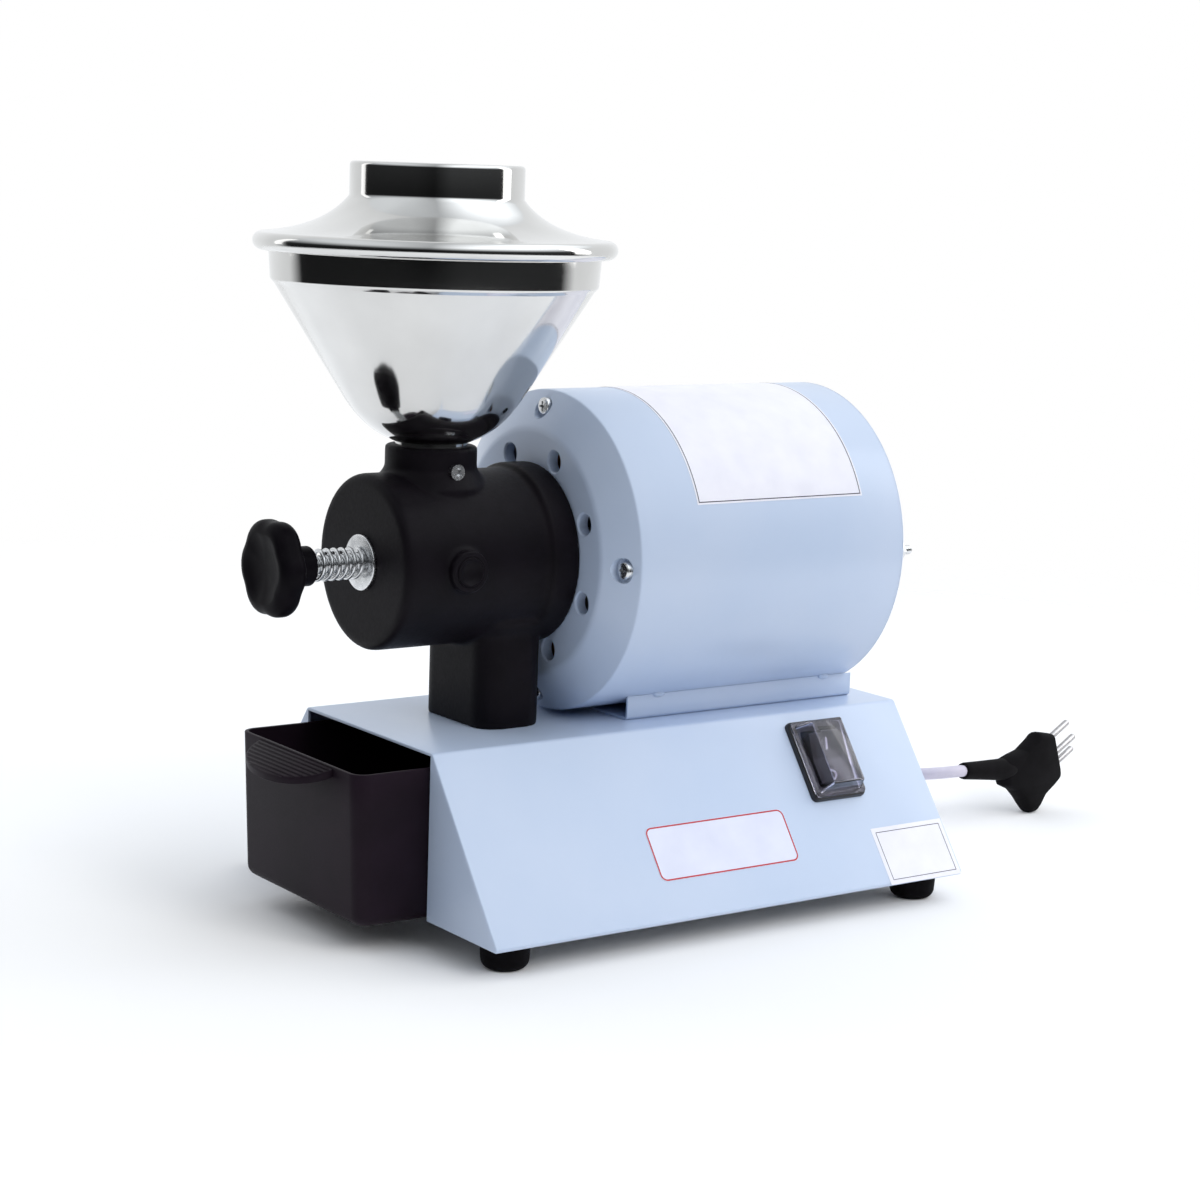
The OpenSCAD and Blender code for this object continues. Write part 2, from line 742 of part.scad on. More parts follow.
flight_t = 3.2;
flight_rings = 16;
flight_turns = (auger_end - auger_y - flight_t) / auger_pitch;

function flight_ring(i) =
    let (a = 360 * i / flight_rings, y = auger_y + flight_t / 2 + auger_pitch * i / flight_rings)
    [for (c = [[auger_core_r - 2, -1], [auger_r, -1], [auger_r, 1], [auger_core_r - 2, 1]])
        [c[0] * cos(a), y + c[1] * flight_t / 2, axis_z + c[0] * sin(a)]];

module feed_screw() color("#8c9299") difference() {
    union() {
        rod(auger_core_r, auger_y, auger_end);
        skin([for (i = [0 : floor(flight_turns * flight_rings)]) flight_ring(i)]);
    }
    rod(shaft_r + fit, auger_y - 1, auger_end + 1);
}

burr_grooves = 24;

module burr_teeth(y0, y1) for (i = [0 : burr_grooves - 1])
    translate([0, 0, axis_z]) rotate([0, 360 * i / burr_grooves, 0])
        translate([burr_hub_r + 5, y0, -0.8]) rotate([0, 12, 0]) cube([burr_r, y1 - y0, 1.6]);

module rotating_burr() color("#8a8f95") difference() {
    union() {
        rod(burr_r, burr_y, burr_y + burr_t);
        rod(burr_hub_r, burr_y, burr_y + 2 * burr_t);
    }
    rod(shaft_r + fit, burr_y - 1, burr_y + 2 * burr_t + 1);
    burr_teeth(burr_y - 1, burr_y + 1.5);
}

// Mill

neck_top = axis_z + mill_r + 13.5;
tube_len = 19;
tube_z = neck_top + 2 - tube_len;
tube_gap = 0.05;
plug_y = mill_y + 33;
plug_boss_r = 10.5;
plug_boss_x = mill_r + 5;
plug_r = 7.5;
plug_dish_r = 6.5;
plug_dish = 2;
guide_pin_r = 3;
set_screw_r = 2.5;
set_screw_z = neck_top - 11.5;
front_edge = 3;

module mill_body() color("#1c181e") difference() {
    union() {
        turned(concat([[0, mill_y]], arc([mill_r - front_edge, mill_y + front_edge], front_edge, -90, 0, 6),
            [[mill_r, bell_y - flange_t], [flange_r, bell_y - flange_t + 1.5],
                [flange_r, bell_y], [0, bell_y]]));
        translate([0, hopper_y, axis_z]) cylinder(r = neck_r, h = neck_top - axis_z);
        translate([0, spout_y, top_z]) linear_extrude(axis_z - top_z)
            round_rect(spout_w, spout_d, spout_corner);
        translate([0, plug_y, axis_z]) rotate([0, 90, 0]) cylinder(r = plug_boss_r, h = plug_boss_x);
    }
    rod(chamber_r, wall_y, bell_y + 1);
    rod(screw_r + fit, mill_y - 1, wall_y + 1);
    translate([0, hopper_y, axis_z]) cylinder(r = hopper_tube_r - hopper_sheet, h = neck_top - axis_z + 1);
    translate([0, hopper_y, tube_z]) cylinder(r = hopper_tube_r + tube_gap, h = tube_len + 1);
    translate([0, spout_y, top_z - 1]) linear_extrude(axis_z - chamber_r / 2 - top_z)
        round_rect(spout_w - 2 * spout_wall, spout_d - 2 * spout_wall, spout_corner - spout_wall);
    translate([0, hopper_y, set_screw_z]) rotate([0, 90, 0])
        cylinder(r = set_screw_r + fit, h = neck_r + 1);
    translate([0, plug_y, axis_z]) rotate([0, 90, 0]) cylinder(r = plug_r + fit, h = plug_boss_x + 1);
    round_axis(4, mill_screw_circle, 45) pin_y(mill_screw_r + fit, bell_y - mill_screw_in - 1, bell_y + 1);
}

module mill_screws() color("#b9bcc0") round_axis(4, mill_screw_circle, 45) {
    pin_y(mill_screw_r, bell_y - mill_screw_in, bell_y + bell_wall + eps);
    hex_y(rod_head_w, bell_y + bell_wall, bell_y + bell_wall + rod_head_t);
}

module hopper_screw() color("#c6c9cd") translate([0, hopper_y, set_screw_z]) rotate([0, 90, 0]) {
    translate([0, 0, hopper_tube_r + loose]) cylinder(r = set_screw_r, h = neck_r - hopper_tube_r);
    difference() {
        translate([0, 0, neck_r]) cylinder(r = 4, h = 2.6);
        translate([0, 0, neck_r + 1.2]) cylinder(r = 2.2, h = 2, $fn = 6);
    }
}

pin_reach = carrier_wall - 1;

module side_plug() color("#1c181e") translate([0, plug_y, axis_z]) rotate([0, 90, 0]) {
    difference() {
        translate([0, 0, chamber_r + 0.5]) cylinder(r = plug_r, h = plug_boss_x - chamber_r);
        translate([0, 0, plug_boss_x + 0.5 - plug_dish])
            cylinder(r1 = plug_dish_r / 2, r2 = 1.5 * plug_dish_r, h = 2 * plug_dish);
    }
    translate([0, 0, chamber_r - pin_reach]) cylinder(r = guide_pin_r, h = pin_reach + 1);
}

key_gap = 0.1;

module burr_carrier() color("#7f858c") difference() {
    rod(chamber_r - fit, carrier_y, carrier_end);
    rod(chamber_r - carrier_wall, carrier_y + carrier_front, carrier_end + 1);
    rod(screw_r + fit, carrier_y - 1, carrier_y + carrier_front / 2);
    translate([-hopper_tube_r + hopper_sheet, carrier_y + carrier_front + 1, axis_z + chamber_r / 3])
        cube([2 * (hopper_tube_r - hopper_sheet), carrier_l - carrier_front - 5, chamber_r]);
    translate([0, plug_y - guide_pin_r - feed_travel - loose, axis_z - guide_pin_r - key_gap])
        cube([chamber_r + 1, 2 * (guide_pin_r + feed_travel + loose), 2 * (guide_pin_r + key_gap)]);
}

module fixed_burr() color("#8a8f95") difference() {
    rod(burr_r, carrier_end, fixed_burr_end);
    rod(burr_hub_r + 4, carrier_end - 1, fixed_burr_end + 1);
    burr_teeth(fixed_burr_end - 1.5, fixed_burr_end + 1);
}

// Adjuster

module adjusting_screw() color("#b9bcc0") rod(screw_r, hub_y + 2, carrier_y + carrier_front / 2 - fit);

knob_lobe_r = 14.5;
knob_core_r = knob_d / 2 - knob_lobe_r;
knob_round = 6;
knob_rim = 2;
knob_back_turn = 50;

module adjusting_knob() color("#1a191c") difference() {
    union() {
        intersection() {
            translate([0, hub_y, axis_z]) rotate([90, 0, 0]) linear_extrude(knob_t) {
                circle(knob_core_r);
                for (i = [0 : knob_lobes - 1])
                    rotate(360 * i / knob_lobes) translate([knob_core_r, 0]) circle(knob_lobe_r);
            }
            turned(concat([[0, knob_y], [knob_d / 4, knob_y]],
                arc([knob_d / 2 - knob_round, knob_y + knob_round], knob_round, -90, 0, 8),
                arc([knob_d / 2 - knob_round, knob_y + knob_round + knob_rim],
                    knob_round, 0, knob_back_turn, 6),
                [[hub_r, hub_y], [0, hub_y]]));
        }
        rod(hub_r, hub_y - knob_t / 3, spring_y);
    }
    rod(screw_r + fit, hub_y + 2 - fit, spring_y + 1);
}

spring_mean_r = spring_r - spring_wire / 2;
spring_seat = spring_wire / 2 + 0.05;
curl_rings = 8;
spring_turn0 = 90;

function spring_point(i) =
    let (n = spring_curls * curl_rings, a = spring_turn0 + 360 * i / curl_rings)
    [spring_mean_r * cos(a), spring_y + spring_seat + (spring_l - 2 * spring_seat) * i / n,
        axis_z + spring_mean_r * sin(a)];

spring_winding = [for (i = [0 : spring_curls * curl_rings]) spring_point(i)];
spring_last = len(spring_winding) - 1;
spring_path = concat(
    [spring_winding[0] + spring_wire * [sin(spring_turn0), 0, -cos(spring_turn0)]],
    spring_winding,
    [spring_winding[spring_last] + spring_wire * [-sin(spring_turn0), 0, cos(spring_turn0)]]);

module adjusting_spring() color("#c9ccd0") {
    echo(spring_least_gap = least_gap(spring_winding, curl_rings / 2, spring_wire));
    tube(spring_path, spring_wire / 2, 6, [0, 1, 0]);
}

module spring_washer() color("#c9ccd0") rod_tube(washer_r, screw_r + 0.3, washer_y, mill_y);

// Hopper and lid

rim_z = neck_top + hopper_h;
bowl_r = 44;
bowl_h = 22;
bowl_pull_r = 34;
bowl_pull_h = 7;
band_h = 14;
shoulder_h = 2;
band_draft = 1;

// Curve from the tube, out along the bowl, up to the start of the cone
function bowl_curve(n) = bend([hopper_tube_r, neck_top + 1.5], [bowl_pull_r, neck_top + bowl_pull_h],
    [bowl_r, neck_top + bowl_h], n);

hopper_outer = concat([[hopper_tube_r, tube_z]], bowl_curve(8),
    [[hopper_r - band_draft - shoulder_h, rim_z - band_h - shoulder_h],
        [hopper_r - band_draft, rim_z - band_h], [hopper_r, rim_z]]);

// The same outline moved inward by the sheet
function inward(p, t) = [for (i = [0 : len(p) - 1])
    let (d = unit(p[min(i + 1, len(p) - 1)] - p[max(i - 1, 0)])) p[i] + t * [-d[1], d[0]]];

function backward(p) = [for (i = [len(p) - 1 : -1 : 0]) p[i]];

module spun(profile) translate([0, hopper_y, 0]) rotate_extrude($fn = 96) polygon(profile);

module hopper() color("#d9dadb") spun(concat(hopper_outer, backward(inward(hopper_outer, hopper_sheet))));

lid_z = rim_z + loose;
bead_r = 4.5;
skirt_gap = 0.5;
skirt_h = 7;
crown_z = rim_z + crown_h;
flare_h = 28;
flare_pull_r = 56;
flare_pull_h = 12;

// Curve of the lid from the brim up to the foot of the crown
function flare_curve(n) = bend([brim_r - bead_r, lid_z + 2 * bead_r], [flare_pull_r, lid_z + flare_pull_h],
    [crown_r, lid_z + flare_h], n);

skirt_r = hopper_r - hopper_sheet - band_draft - skirt_gap;
lid_outer = concat(arc([brim_r - bead_r, lid_z + bead_r], bead_r, -90, 90, 10), flare_curve(10),
    [[crown_r, crown_z - 2]], arc([crown_r - 2, crown_z - 2], 2, 30, 90, 3));

module hopper_lid() color("#d9dadb") spun(concat(
    [[0, crown_z], [0, crown_z - hopper_sheet], [crown_r - 3, crown_z - hopper_sheet],
        [crown_r - hopper_sheet, crown_z - 3]],
    backward(inward(flare_curve(10), hopper_sheet)),
    [[skirt_r - hopper_sheet, lid_z + 2 * bead_r - hopper_sheet - 1],
        [skirt_r - hopper_sheet, lid_z - skirt_h], [skirt_r, lid_z - skirt_h], [skirt_r, lid_z]],
    lid_outer));

// Channel under the motor

channel_side = motor_r / 4;
bolt_z = top_z - base_sheet - nut_h - 2 * screw_tip;

module motor_foot() color("#b9c8e1") difference() {
    along_y(channel_y0, channel_y1) polygon([[-channel_half, top_z], [channel_half, top_z],
        [channel_half, top_z + channel_side], [channel_half - channel_sheet, top_z + channel_side],
        [channel_half - channel_sheet, top_z + channel_sheet],
        [channel_sheet - channel_half, top_z + channel_sheet],
        [channel_sheet - channel_half, top_z + channel_side], [-channel_half, top_z + channel_side]]);
    rod(motor_r + fit, channel_y0 - 1, channel_y1 + 1);
    at_channel_bolts() translate([0, 0, top_z - 1]) cylinder(r = bolt_r + hole_gap, h = channel_sheet + 2);
}

module motor_foot_bolts() color("#b9bcc0") at_channel_bolts() {
    translate([0, 0, top_z + channel_sheet]) cylinder(r = 2 * bolt_r, h = nut_h, $fn = 6);
    translate([0, 0, bolt_z]) cylinder(r = bolt_r, h = top_z + channel_sheet + eps - bolt_z);
    translate([0, 0, top_z - base_sheet - nut_h]) cylinder(r = 2 * bolt_r, h = nut_h, $fn = 6);
}

// Cord

cord_r = cord_d / 2;
gland_end = base_len + gland_l;

module cord_gland() color("#1b1a1d") translate([gland_x, 0, gland_z]) {
    pin_y(gland_r, base_len, base_len + gland_collar);
    pin_y(gland_r - gland_step - fit, base_len - base_sheet - gland_in, base_len + eps);
    translate([0, base_len + gland_collar - eps, 0]) rotate([-90, 0, 0])
        cylinder(r1 = 6.5, r2 = sleeve_r, h = gland_l - gland_collar);
}

coil_x = -84;
coil_y = 383;
coil_r = 42;
coil_layers = 4;
coil_turns = 4.8;
coil_step = cord_d + 0.7;
loop_rings = 24;
tie_t = 1.2;
coil_z = cord_r + tie_t;

// Which layer a turn is in, counted with its fraction, and how far it has spiralled in
function layer_at(t) = t * coil_layers / coil_turns;
function spiral_at(t) = let (f = layer_at(t), k = floor(f))
    (k % 2 == 0 ? f - k : 1 - f + k) * coil_turns / coil_layers;
climb_half = 0.25 * coil_layers / coil_turns;
function climb_at(t) = let (f = layer_at(t), k = round(f), e = f - k)
    k == 0 || k == coil_layers ? floor(min(f, coil_layers - eps))
        : k - 1 + min(1, max(0, (e + climb_half) / (2 * climb_half)));
function coil_point(t) = let (r = coil_r - coil_step * spiral_at(t))
    [coil_x + r * cos(360 * t), coil_y + r * sin(360 * t), coil_z + coil_step * climb_at(t)];

coil_count = round(coil_turns * loop_rings);
coil_winding = [for (i = [0 : coil_count]) coil_point(coil_turns * i / coil_count)];
coil_start = coil_winding[0] - [0, cord_d, 0];
coil_out_dir = [-sin(360 * coil_turns), cos(360 * coil_turns), 0];
coil_end = coil_winding[coil_count] + cord_d * coil_out_dir;
coil_path = concat([coil_start], coil_winding, [coil_end]);

module cord_coil() color("#cfcad8") {
    echo(coil_least_gap = least_gap(coil_winding, loop_rings / 2, cord_d));
    tube(coil_path, cord_r, 6, [0, 0, 1]);
}

// Free stretches of the cord, point by point
supply_route = [[-42, 326, 26], [-42, 332.5, 25.3], [-42, 338.7, 23.2], [-42, 344.3, 19.9],
    [-42, 349, 15.4], [-42, 353.7, 10.8], [-42, 359.3, 7.5], [-42, 365.5, 5.4], [-42, 372, 4.7]];
plug_route = [[-57.7, 347.4, 27.8], [-40.6, 353, 29.5], [-24.4, 358.2, 31.9], [-10.5, 362.7, 34.2],
    [0.1, 368.5, 35.8], [7.9, 377.6, 37], [11.9, 389, 37.4]];

module supply_cord() color("#cfcad8")
    tube(concat([[gland_x, gland_end, gland_z]], supply_route, [coil_start]), cord_r, 8, [1, 0, 0]);

tie_angle = 140;
tie_l = 12;
coil_in_r = coil_r - coil_step * coil_turns / coil_layers;

module cord_tie() color("#2a292c") translate([coil_x, coil_y, 0]) rotate(tie_angle) rotate([90, 0, 0])
    linear_extrude(tie_l, center = true) difference() {
        reach = coil_r - coil_in_r + cord_d + 2 * loose;
        rise = coil_step * (coil_layers - 1) + cord_d + 2 * loose;
        inside = coil_in_r - cord_r - loose - 1;
        translate([inside - tie_t, 0]) square([reach + 2 * tie_t + 1, rise + 2 * tie_t - loose]);
        translate([inside, tie_t - 0.2]) square([reach + 1, rise]);
    }

plug_x = -4.3;
plug_y0 = 475.8;
plug_yaw = 12;
plug_t = 11;
sleeve_u = -73;
sleeve_v = 36.5;
sleeve_turn = 97;
sleeve_l = 45;
sleeve_root_r = 8;
sleeve_run = 3.5;
pin_tilt = 22;
pin_spacing = 9.5;
pin_l = 19;
middle_pin_side = 3;
pin_r = 2;
pin_face = [24.5, 35.5];

// Local frame of the plug: X along it, Z up, standing on its lower edge
module at_plug() translate([plug_x, plug_y0, 0]) rotate([0, 0, 90 + plug_yaw]) children();

plug_head = [cos(90 + plug_yaw), sin(90 + plug_yaw), 0];
sleeve_axis = sin(sleeve_turn) * plug_head + [0, 0, cos(sleeve_turn)];
plug_entry = [plug_x, plug_y0, sleeve_v] + sleeve_u * plug_head - fit * sleeve_axis;

module plug_lead() color("#cfcad8")
    tube(concat([coil_end], plug_route, [plug_entry - sleeve_run * sleeve_axis, plug_entry]),
        cord_r, 8, [0, 0, 1]);

// Direction of the row of pins, from the upper pin to the lower one
pin_row = [sin(pin_tilt), -cos(pin_tilt)];
plug_outline = [[-2, 0], [4, 0], [8, 3], [13, 9], [24, 14.5], [30.5, 18.5],
    pin_face + 13 * pin_row, pin_face - 12 * pin_row,
    [11, 48.5], [4, 49.8], [-1, 46.5], [-12, 41], [-22, 39.5], [-34, 37],
    [-32, 21.5], [-21, 17], [-13, 10.5], [-6, 3.5]];

module plug_body() color("#17161a") at_plug() {
    rotate([90, 0, 0]) linear_extrude(plug_t, center = true) polygon(plug_outline);
    translate([sleeve_u, 0, sleeve_v]) rotate([0, sleeve_turn, 0])
        cylinder(r1 = sleeve_r, r2 = sleeve_root_r, h = sleeve_l);
}

module plug_pins() color("#c9ccd0") at_plug() for (i = [-1, 0, 1]) {
    at = pin_face + i * pin_spacing * pin_row;
    translate([at[0], i == 0 ? -middle_pin_side : 0, at[1]])
        rotate([0, 90 - pin_tilt, 0]) cylinder(r = pin_r, h = pin_l);
}

place() base_shell();
place() bottom_plate();
place() drawer_guide_left();
place() drawer_guide_right();
place() foot_front_left();
place() foot_front_right();
place() foot_rear_left();
place() foot_rear_right();
place() foot_screws();
place() switch_frame();
place() switch_rocker();
place() switch_cover();
place() switch_terminals();
place() start_capacitor();
place() capacitor_clamp();
place() cord_gland();
place() motor_foot();
place() motor_foot_bolts();
place() motor_shell();
place() front_bell();
place() rear_bell();
place() tie_rods();
place() stator_core();
place() stator_windings();
place() front_bearing();
place() rear_bearing();
place() motor_shaft();
place() rotor_core();
place() cooling_fan();
place() feed_screw();
place() rotating_burr();
place() mill_body();
place() mill_screws();
place() hopper();
place() hopper_screw();
place() side_plug();
place() burr_carrier();
place() fixed_burr();
place() adjusting_screw();
place() adjusting_knob();
place() adjusting_spring();
place() spring_washer();
place() hopper_lid();
place() drawer();
place() supply_cord();
place() cord_coil();
place() cord_tie();
place() plug_lead();
place() plug_body();
place() plug_pins();
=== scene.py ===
"""Looks of an electric coffee grinder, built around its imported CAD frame.

Shapes are drawn in millimetres and put in the scene in metres. The axes are the frame's own: X across,
Y from the knob to the cord, Z up from the table.
"""

import math

import bmesh
import bpy
from mathutils import Matrix, Vector


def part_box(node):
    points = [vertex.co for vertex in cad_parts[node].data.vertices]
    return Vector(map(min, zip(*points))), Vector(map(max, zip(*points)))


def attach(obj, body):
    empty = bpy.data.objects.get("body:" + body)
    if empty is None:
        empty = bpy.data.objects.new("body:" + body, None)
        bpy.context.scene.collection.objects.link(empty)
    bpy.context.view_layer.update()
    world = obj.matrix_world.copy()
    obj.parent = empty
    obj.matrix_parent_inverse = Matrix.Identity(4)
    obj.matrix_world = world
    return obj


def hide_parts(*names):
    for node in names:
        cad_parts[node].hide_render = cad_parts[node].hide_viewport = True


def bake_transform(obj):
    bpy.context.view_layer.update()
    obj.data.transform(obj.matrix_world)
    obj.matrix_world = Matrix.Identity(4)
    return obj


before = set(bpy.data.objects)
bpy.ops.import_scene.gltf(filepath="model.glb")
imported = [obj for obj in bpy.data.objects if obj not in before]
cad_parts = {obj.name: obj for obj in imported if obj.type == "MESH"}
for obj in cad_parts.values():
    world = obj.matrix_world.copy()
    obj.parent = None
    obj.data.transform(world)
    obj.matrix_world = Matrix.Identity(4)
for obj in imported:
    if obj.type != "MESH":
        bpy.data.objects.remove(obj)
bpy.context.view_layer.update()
scene = bpy.context.scene
MM = 0.001
TURN = 2 * math.pi


def shift(x, y, z):
    return Matrix.Translation((x, y, z))


def turned(angle, axis):
    return Matrix.Rotation(angle, 4, axis)


ALONG_Y = turned(-TURN / 4, "X")
STAND_Y = turned(TURN / 4, "X")


def node_box(name):
    """Low and high corner of a CAD node, in millimetres."""
    return [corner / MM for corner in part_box(name)]


# Places taken from the CAD nodes

BASE_LOW, BASE_HIGH = node_box("base_shell")
SHELL_LOW, SHELL_HIGH = node_box("motor_shell")
MILL_LOW, MILL_HIGH = node_box("mill_body")
HOPPER_LOW, HOPPER_HIGH = node_box("hopper")
LID_LOW, LID_HIGH = node_box("hopper_lid")
KNOB_LOW, KNOB_HIGH = node_box("adjusting_knob")
DRAWER_LOW, DRAWER_HIGH = node_box("drawer")
WASHER_LOW, WASHER_HIGH = node_box("spring_washer")
FRONT_FACE = node_box("front_bell")[0].y
REAR_FACE = node_box("rear_bell")[1].y
AXIS_Z = (SHELL_LOW.z + SHELL_HIGH.z) / 2
MOTOR_R = SHELL_HIGH.x
HOPPER_Y = (HOPPER_LOW.y + HOPPER_HIGH.y) / 2
FRONT = BASE_LOW.y
MOTOR_AXIS = shift(0, 0, AXIS_Z) @ ALONG_Y
HOPPER_AXIS = shift(0, HOPPER_Y, 0)

# Sloped side of the base
TOP_HALF = 62
SIDE_RUN = BASE_HIGH.x - TOP_HALF
BASE_H = BASE_HIGH.z - BASE_LOW.z
SLOPE_LEN = math.hypot(SIDE_RUN, BASE_H)
SLOPE_TURN = math.atan2(BASE_H, SIDE_RUN)


def slope_frame(y, s):
    """Frame on the sloped side: X down the slope, Y along the base, Z outward."""
    x = TOP_HALF + SIDE_RUN * s / SLOPE_LEN
    z = BASE_HIGH.z - BASE_H * s / SLOPE_LEN
    return shift(x, FRONT + y, z) @ turned(SLOPE_TURN, "Y")


# Camera, as the photograph was taken, in metres and degrees

CAMERA_AT = (1.1312, -0.7908, 0.3863)
CAMERA_AZIMUTH = 54.26
CAMERA_ELEVATION = 9.39
CAMERA_ROLL = 1.99
CAMERA_LENS = 79.39
SENSOR = 36


def make_camera():
    az, el, roll = (math.radians(a) for a in (CAMERA_AZIMUTH, CAMERA_ELEVATION, CAMERA_ROLL))
    facing = turned(az, "Z") @ turned(TURN / 4 - el, "X") @ turned(roll, "Z")
    data = bpy.data.cameras.new("camera")
    data.lens = CAMERA_LENS
    data.sensor_width = SENSOR
    data.clip_start = 0.05
    data.clip_end = 50
    camera = bpy.data.objects.new("camera", data)
    camera.matrix_world = shift(*CAMERA_AT) @ facing
    scene.collection.objects.link(camera)
    scene.camera = camera


# Materials


def srgb(red, green, blue):
    """Linear colour from 8-bit screen values."""
    def linear(value):
        c = value / 255
        return c / 12.92 if c <= 0.04045 else ((c + 0.055) / 1.055) ** 2.4
    return (linear(red), linear(green), linear(blue), 1)


def dial(node, values):
    """Set inputs of a shader node by their names."""
    for name, value in values.items():
        node.inputs[name].default_value = value


def material(name, dark, light, rough, metal=0, patch=60, grain=1500, bump=0.04, depth=0.05,
             stretch=(1, 1, 1), coat=0, spec=0.5):
    """A finish with two tones in patches, a roughness that varies, and a fine relief.

    patch and grain count features per metre, depth is the height of the relief in millimetres, and stretch
    squeezes the grain along the axes.
    """
    made = bpy.data.materials.new(name)
    made.use_nodes = True
    nodes, links = made.node_tree.nodes, made.node_tree.links
    shader = nodes["Principled BSDF"]
    dial(shader, {"Metallic": metal, "Coat Weight": coat, "Coat Roughness": 0.08, "Specular IOR Level": spec})
    where = nodes.new("ShaderNodeTexCoord")
    squeeze = nodes.new("ShaderNodeMapping")
    dial(squeeze, {"Scale": stretch})
    links.new(where.outputs["Object"], squeeze.inputs["Vector"])

    tone = nodes.new("ShaderNodeTexNoise")
    dial(tone, {"Scale": patch, "Detail": 4})
    links.new(where.outputs["Object"], tone.inputs["Vector"])
    ramp = nodes.new("ShaderNodeValToRGB")
    for element, at, colour in zip(ramp.color_ramp.elements, (0.3, 0.7), (dark, light)):
        element.position = at
        element.color = colour
    links.new(tone.outputs["Fac"], ramp.inputs["Fac"])
    links.new(ramp.outputs["Color"], shader.inputs["Base Color"])

    fine = nodes.new("ShaderNodeTexNoise")
    dial(fine, {"Scale": grain, "Detail": 3})
    links.new(squeeze.outputs["Vector"], fine.inputs["Vector"])
    spread = nodes.new("ShaderNodeMapRange")
    dial(spread, {"To Min": rough[0], "To Max": rough[1]})
    links.new(fine.outputs["Fac"], spread.inputs["Value"])
    links.new(spread.outputs["Result"], shader.inputs["Roughness"])
    relief = nodes.new("ShaderNodeBump")
    dial(relief, {"Strength": bump, "Distance": depth * MM})
    links.new(fine.outputs["Fac"], relief.inputs["Height"])
    links.new(relief.outputs["Normal"], shader.inputs["Normal"])
    return made


PAINT = material("pale_paint", srgb(189, 205, 230), srgb(196, 210, 233), (0.26, 0.34), patch=14, grain=240,
                 bump=0.015, depth=0.1, coat=0.1)
CAST = material("mill_black", srgb(13, 10, 15), srgb(18, 14, 20), (0.42, 0.58), grain=600, bump=0.3,
                depth=0.2, spec=0.1)
SPUN = material("hopper_metal", (0.66, 0.655, 0.64, 1), (0.74, 0.735, 0.72, 1), (0.05, 0.12), metal=1,
                patch=25, grain=60, stretch=(0.4, 0.4, 40), bump=0.03, depth=0.1)
MOULDED = material("drawer_plastic", srgb(24, 16, 24), srgb(31, 21, 31), (0.42, 0.55), patch=35, grain=1200,
                   bump=0.2, depth=0.08, spec=0.1)
KNOB = material("knob_plastic", srgb(13, 11, 15), srgb(18, 15, 20), (0.36, 0.48), patch=90, grain=1200,
                bump=0.15, depth=0.08, spec=0.04)
RUBBER = material("rubber", srgb(10, 9, 11), srgb(16, 14, 17), (0.6, 0.78), patch=120, grain=1800, bump=0.3,
                  depth=0.1, spec=0.06)
ZINC = material("zinc", (0.6, 0.61, 0.62, 1), (0.78, 0.79, 0.8, 1), (0.16, 0.34), metal=1, patch=220,
                bump=0.12)
ZINC_SHEET = material("zinc_sheet", (0.45, 0.47, 0.5, 1), (0.62, 0.64, 0.67, 1), (0.3, 0.5), metal=1,
                      patch=70, grain=500, bump=0.1)
STEEL = material("steel", (0.42, 0.43, 0.44, 1), (0.56, 0.57, 0.58, 1), (0.22, 0.4), metal=1, patch=120,
                 grain=900, stretch=(1, 12, 1), bump=0.15)
LAMINATION = material("lamination", (0.2, 0.21, 0.23, 1), (0.32, 0.33, 0.35, 1), (0.35, 0.55), metal=1,
                      patch=80, grain=40, stretch=(0.2, 40, 0.2), bump=0.4, depth=0.2)
COPPER = material("copper", (0.55, 0.24, 0.1, 1), (0.75, 0.36, 0.16, 1), (0.25, 0.42), metal=1, patch=150,
                  grain=300, bump=0.6, depth=0.4)
BRASS = material("terminal_brass", (0.6, 0.42, 0.16, 1), (0.75, 0.56, 0.24, 1), (0.22, 0.36), metal=1,
                 patch=300, bump=0.1)
NICKEL = material("pin_metal", (0.36, 0.35, 0.36, 1), (0.48, 0.47, 0.47, 1), (0.14, 0.26), metal=1,
                  patch=300, grain=1800, bump=0.08, depth=0.04)
SWITCH = material("switch_plastic", srgb(17, 16, 20), srgb(25, 23, 28), (0.28, 0.42), patch=150, grain=1900,
                  bump=0.2, depth=0.06)
FAN = material("fan_plastic", srgb(44, 46, 52), srgb(58, 60, 66), (0.4, 0.55), patch=80, bump=0.2,
               depth=0.06)
CASE = material("capacitor_case", srgb(52, 54, 60), srgb(66, 68, 74), (0.35, 0.5), grain=1200, bump=0.15,
                depth=0.06)
SHEATH = material("cord_sheath", srgb(196, 191, 208), srgb(212, 207, 222), (0.38, 0.52), patch=70,
                  bump=0.15, depth=0.08)
TIE = material("tie_plastic", srgb(36, 35, 39), srgb(48, 46, 51), (0.4, 0.55), patch=150, grain=1800,
               bump=0.2, depth=0.06)
STICKER = material("sticker", srgb(232, 232, 244), srgb(240, 240, 250), (0.3, 0.4))
PLATE = material("name_plate", srgb(216, 220, 240), srgb(224, 228, 246), (0.25, 0.35))
RED_LINE = material("red_line", srgb(176, 26, 40), srgb(192, 34, 48), (0.3, 0.4), patch=200)
DARK_LINE = material("dark_line", srgb(46, 44, 60), srgb(58, 56, 74), (0.35, 0.45), patch=200)
MARK = material("switch_mark", srgb(214, 214, 220), srgb(230, 230, 235), (0.35, 0.45), patch=300,
                grain=1800, bump=0.05, depth=0.04)


def clear_plastic():
    made = material("clear_plastic", (0.8, 0.78, 0.9, 1), (0.86, 0.84, 0.95, 1), (0.06, 0.14), grain=600,
                    bump=0.03)
    dial(made.node_tree.nodes["Principled BSDF"], {"Transmission Weight": 1, "IOR": 1.46})
    return made


CLEAR = clear_plastic()

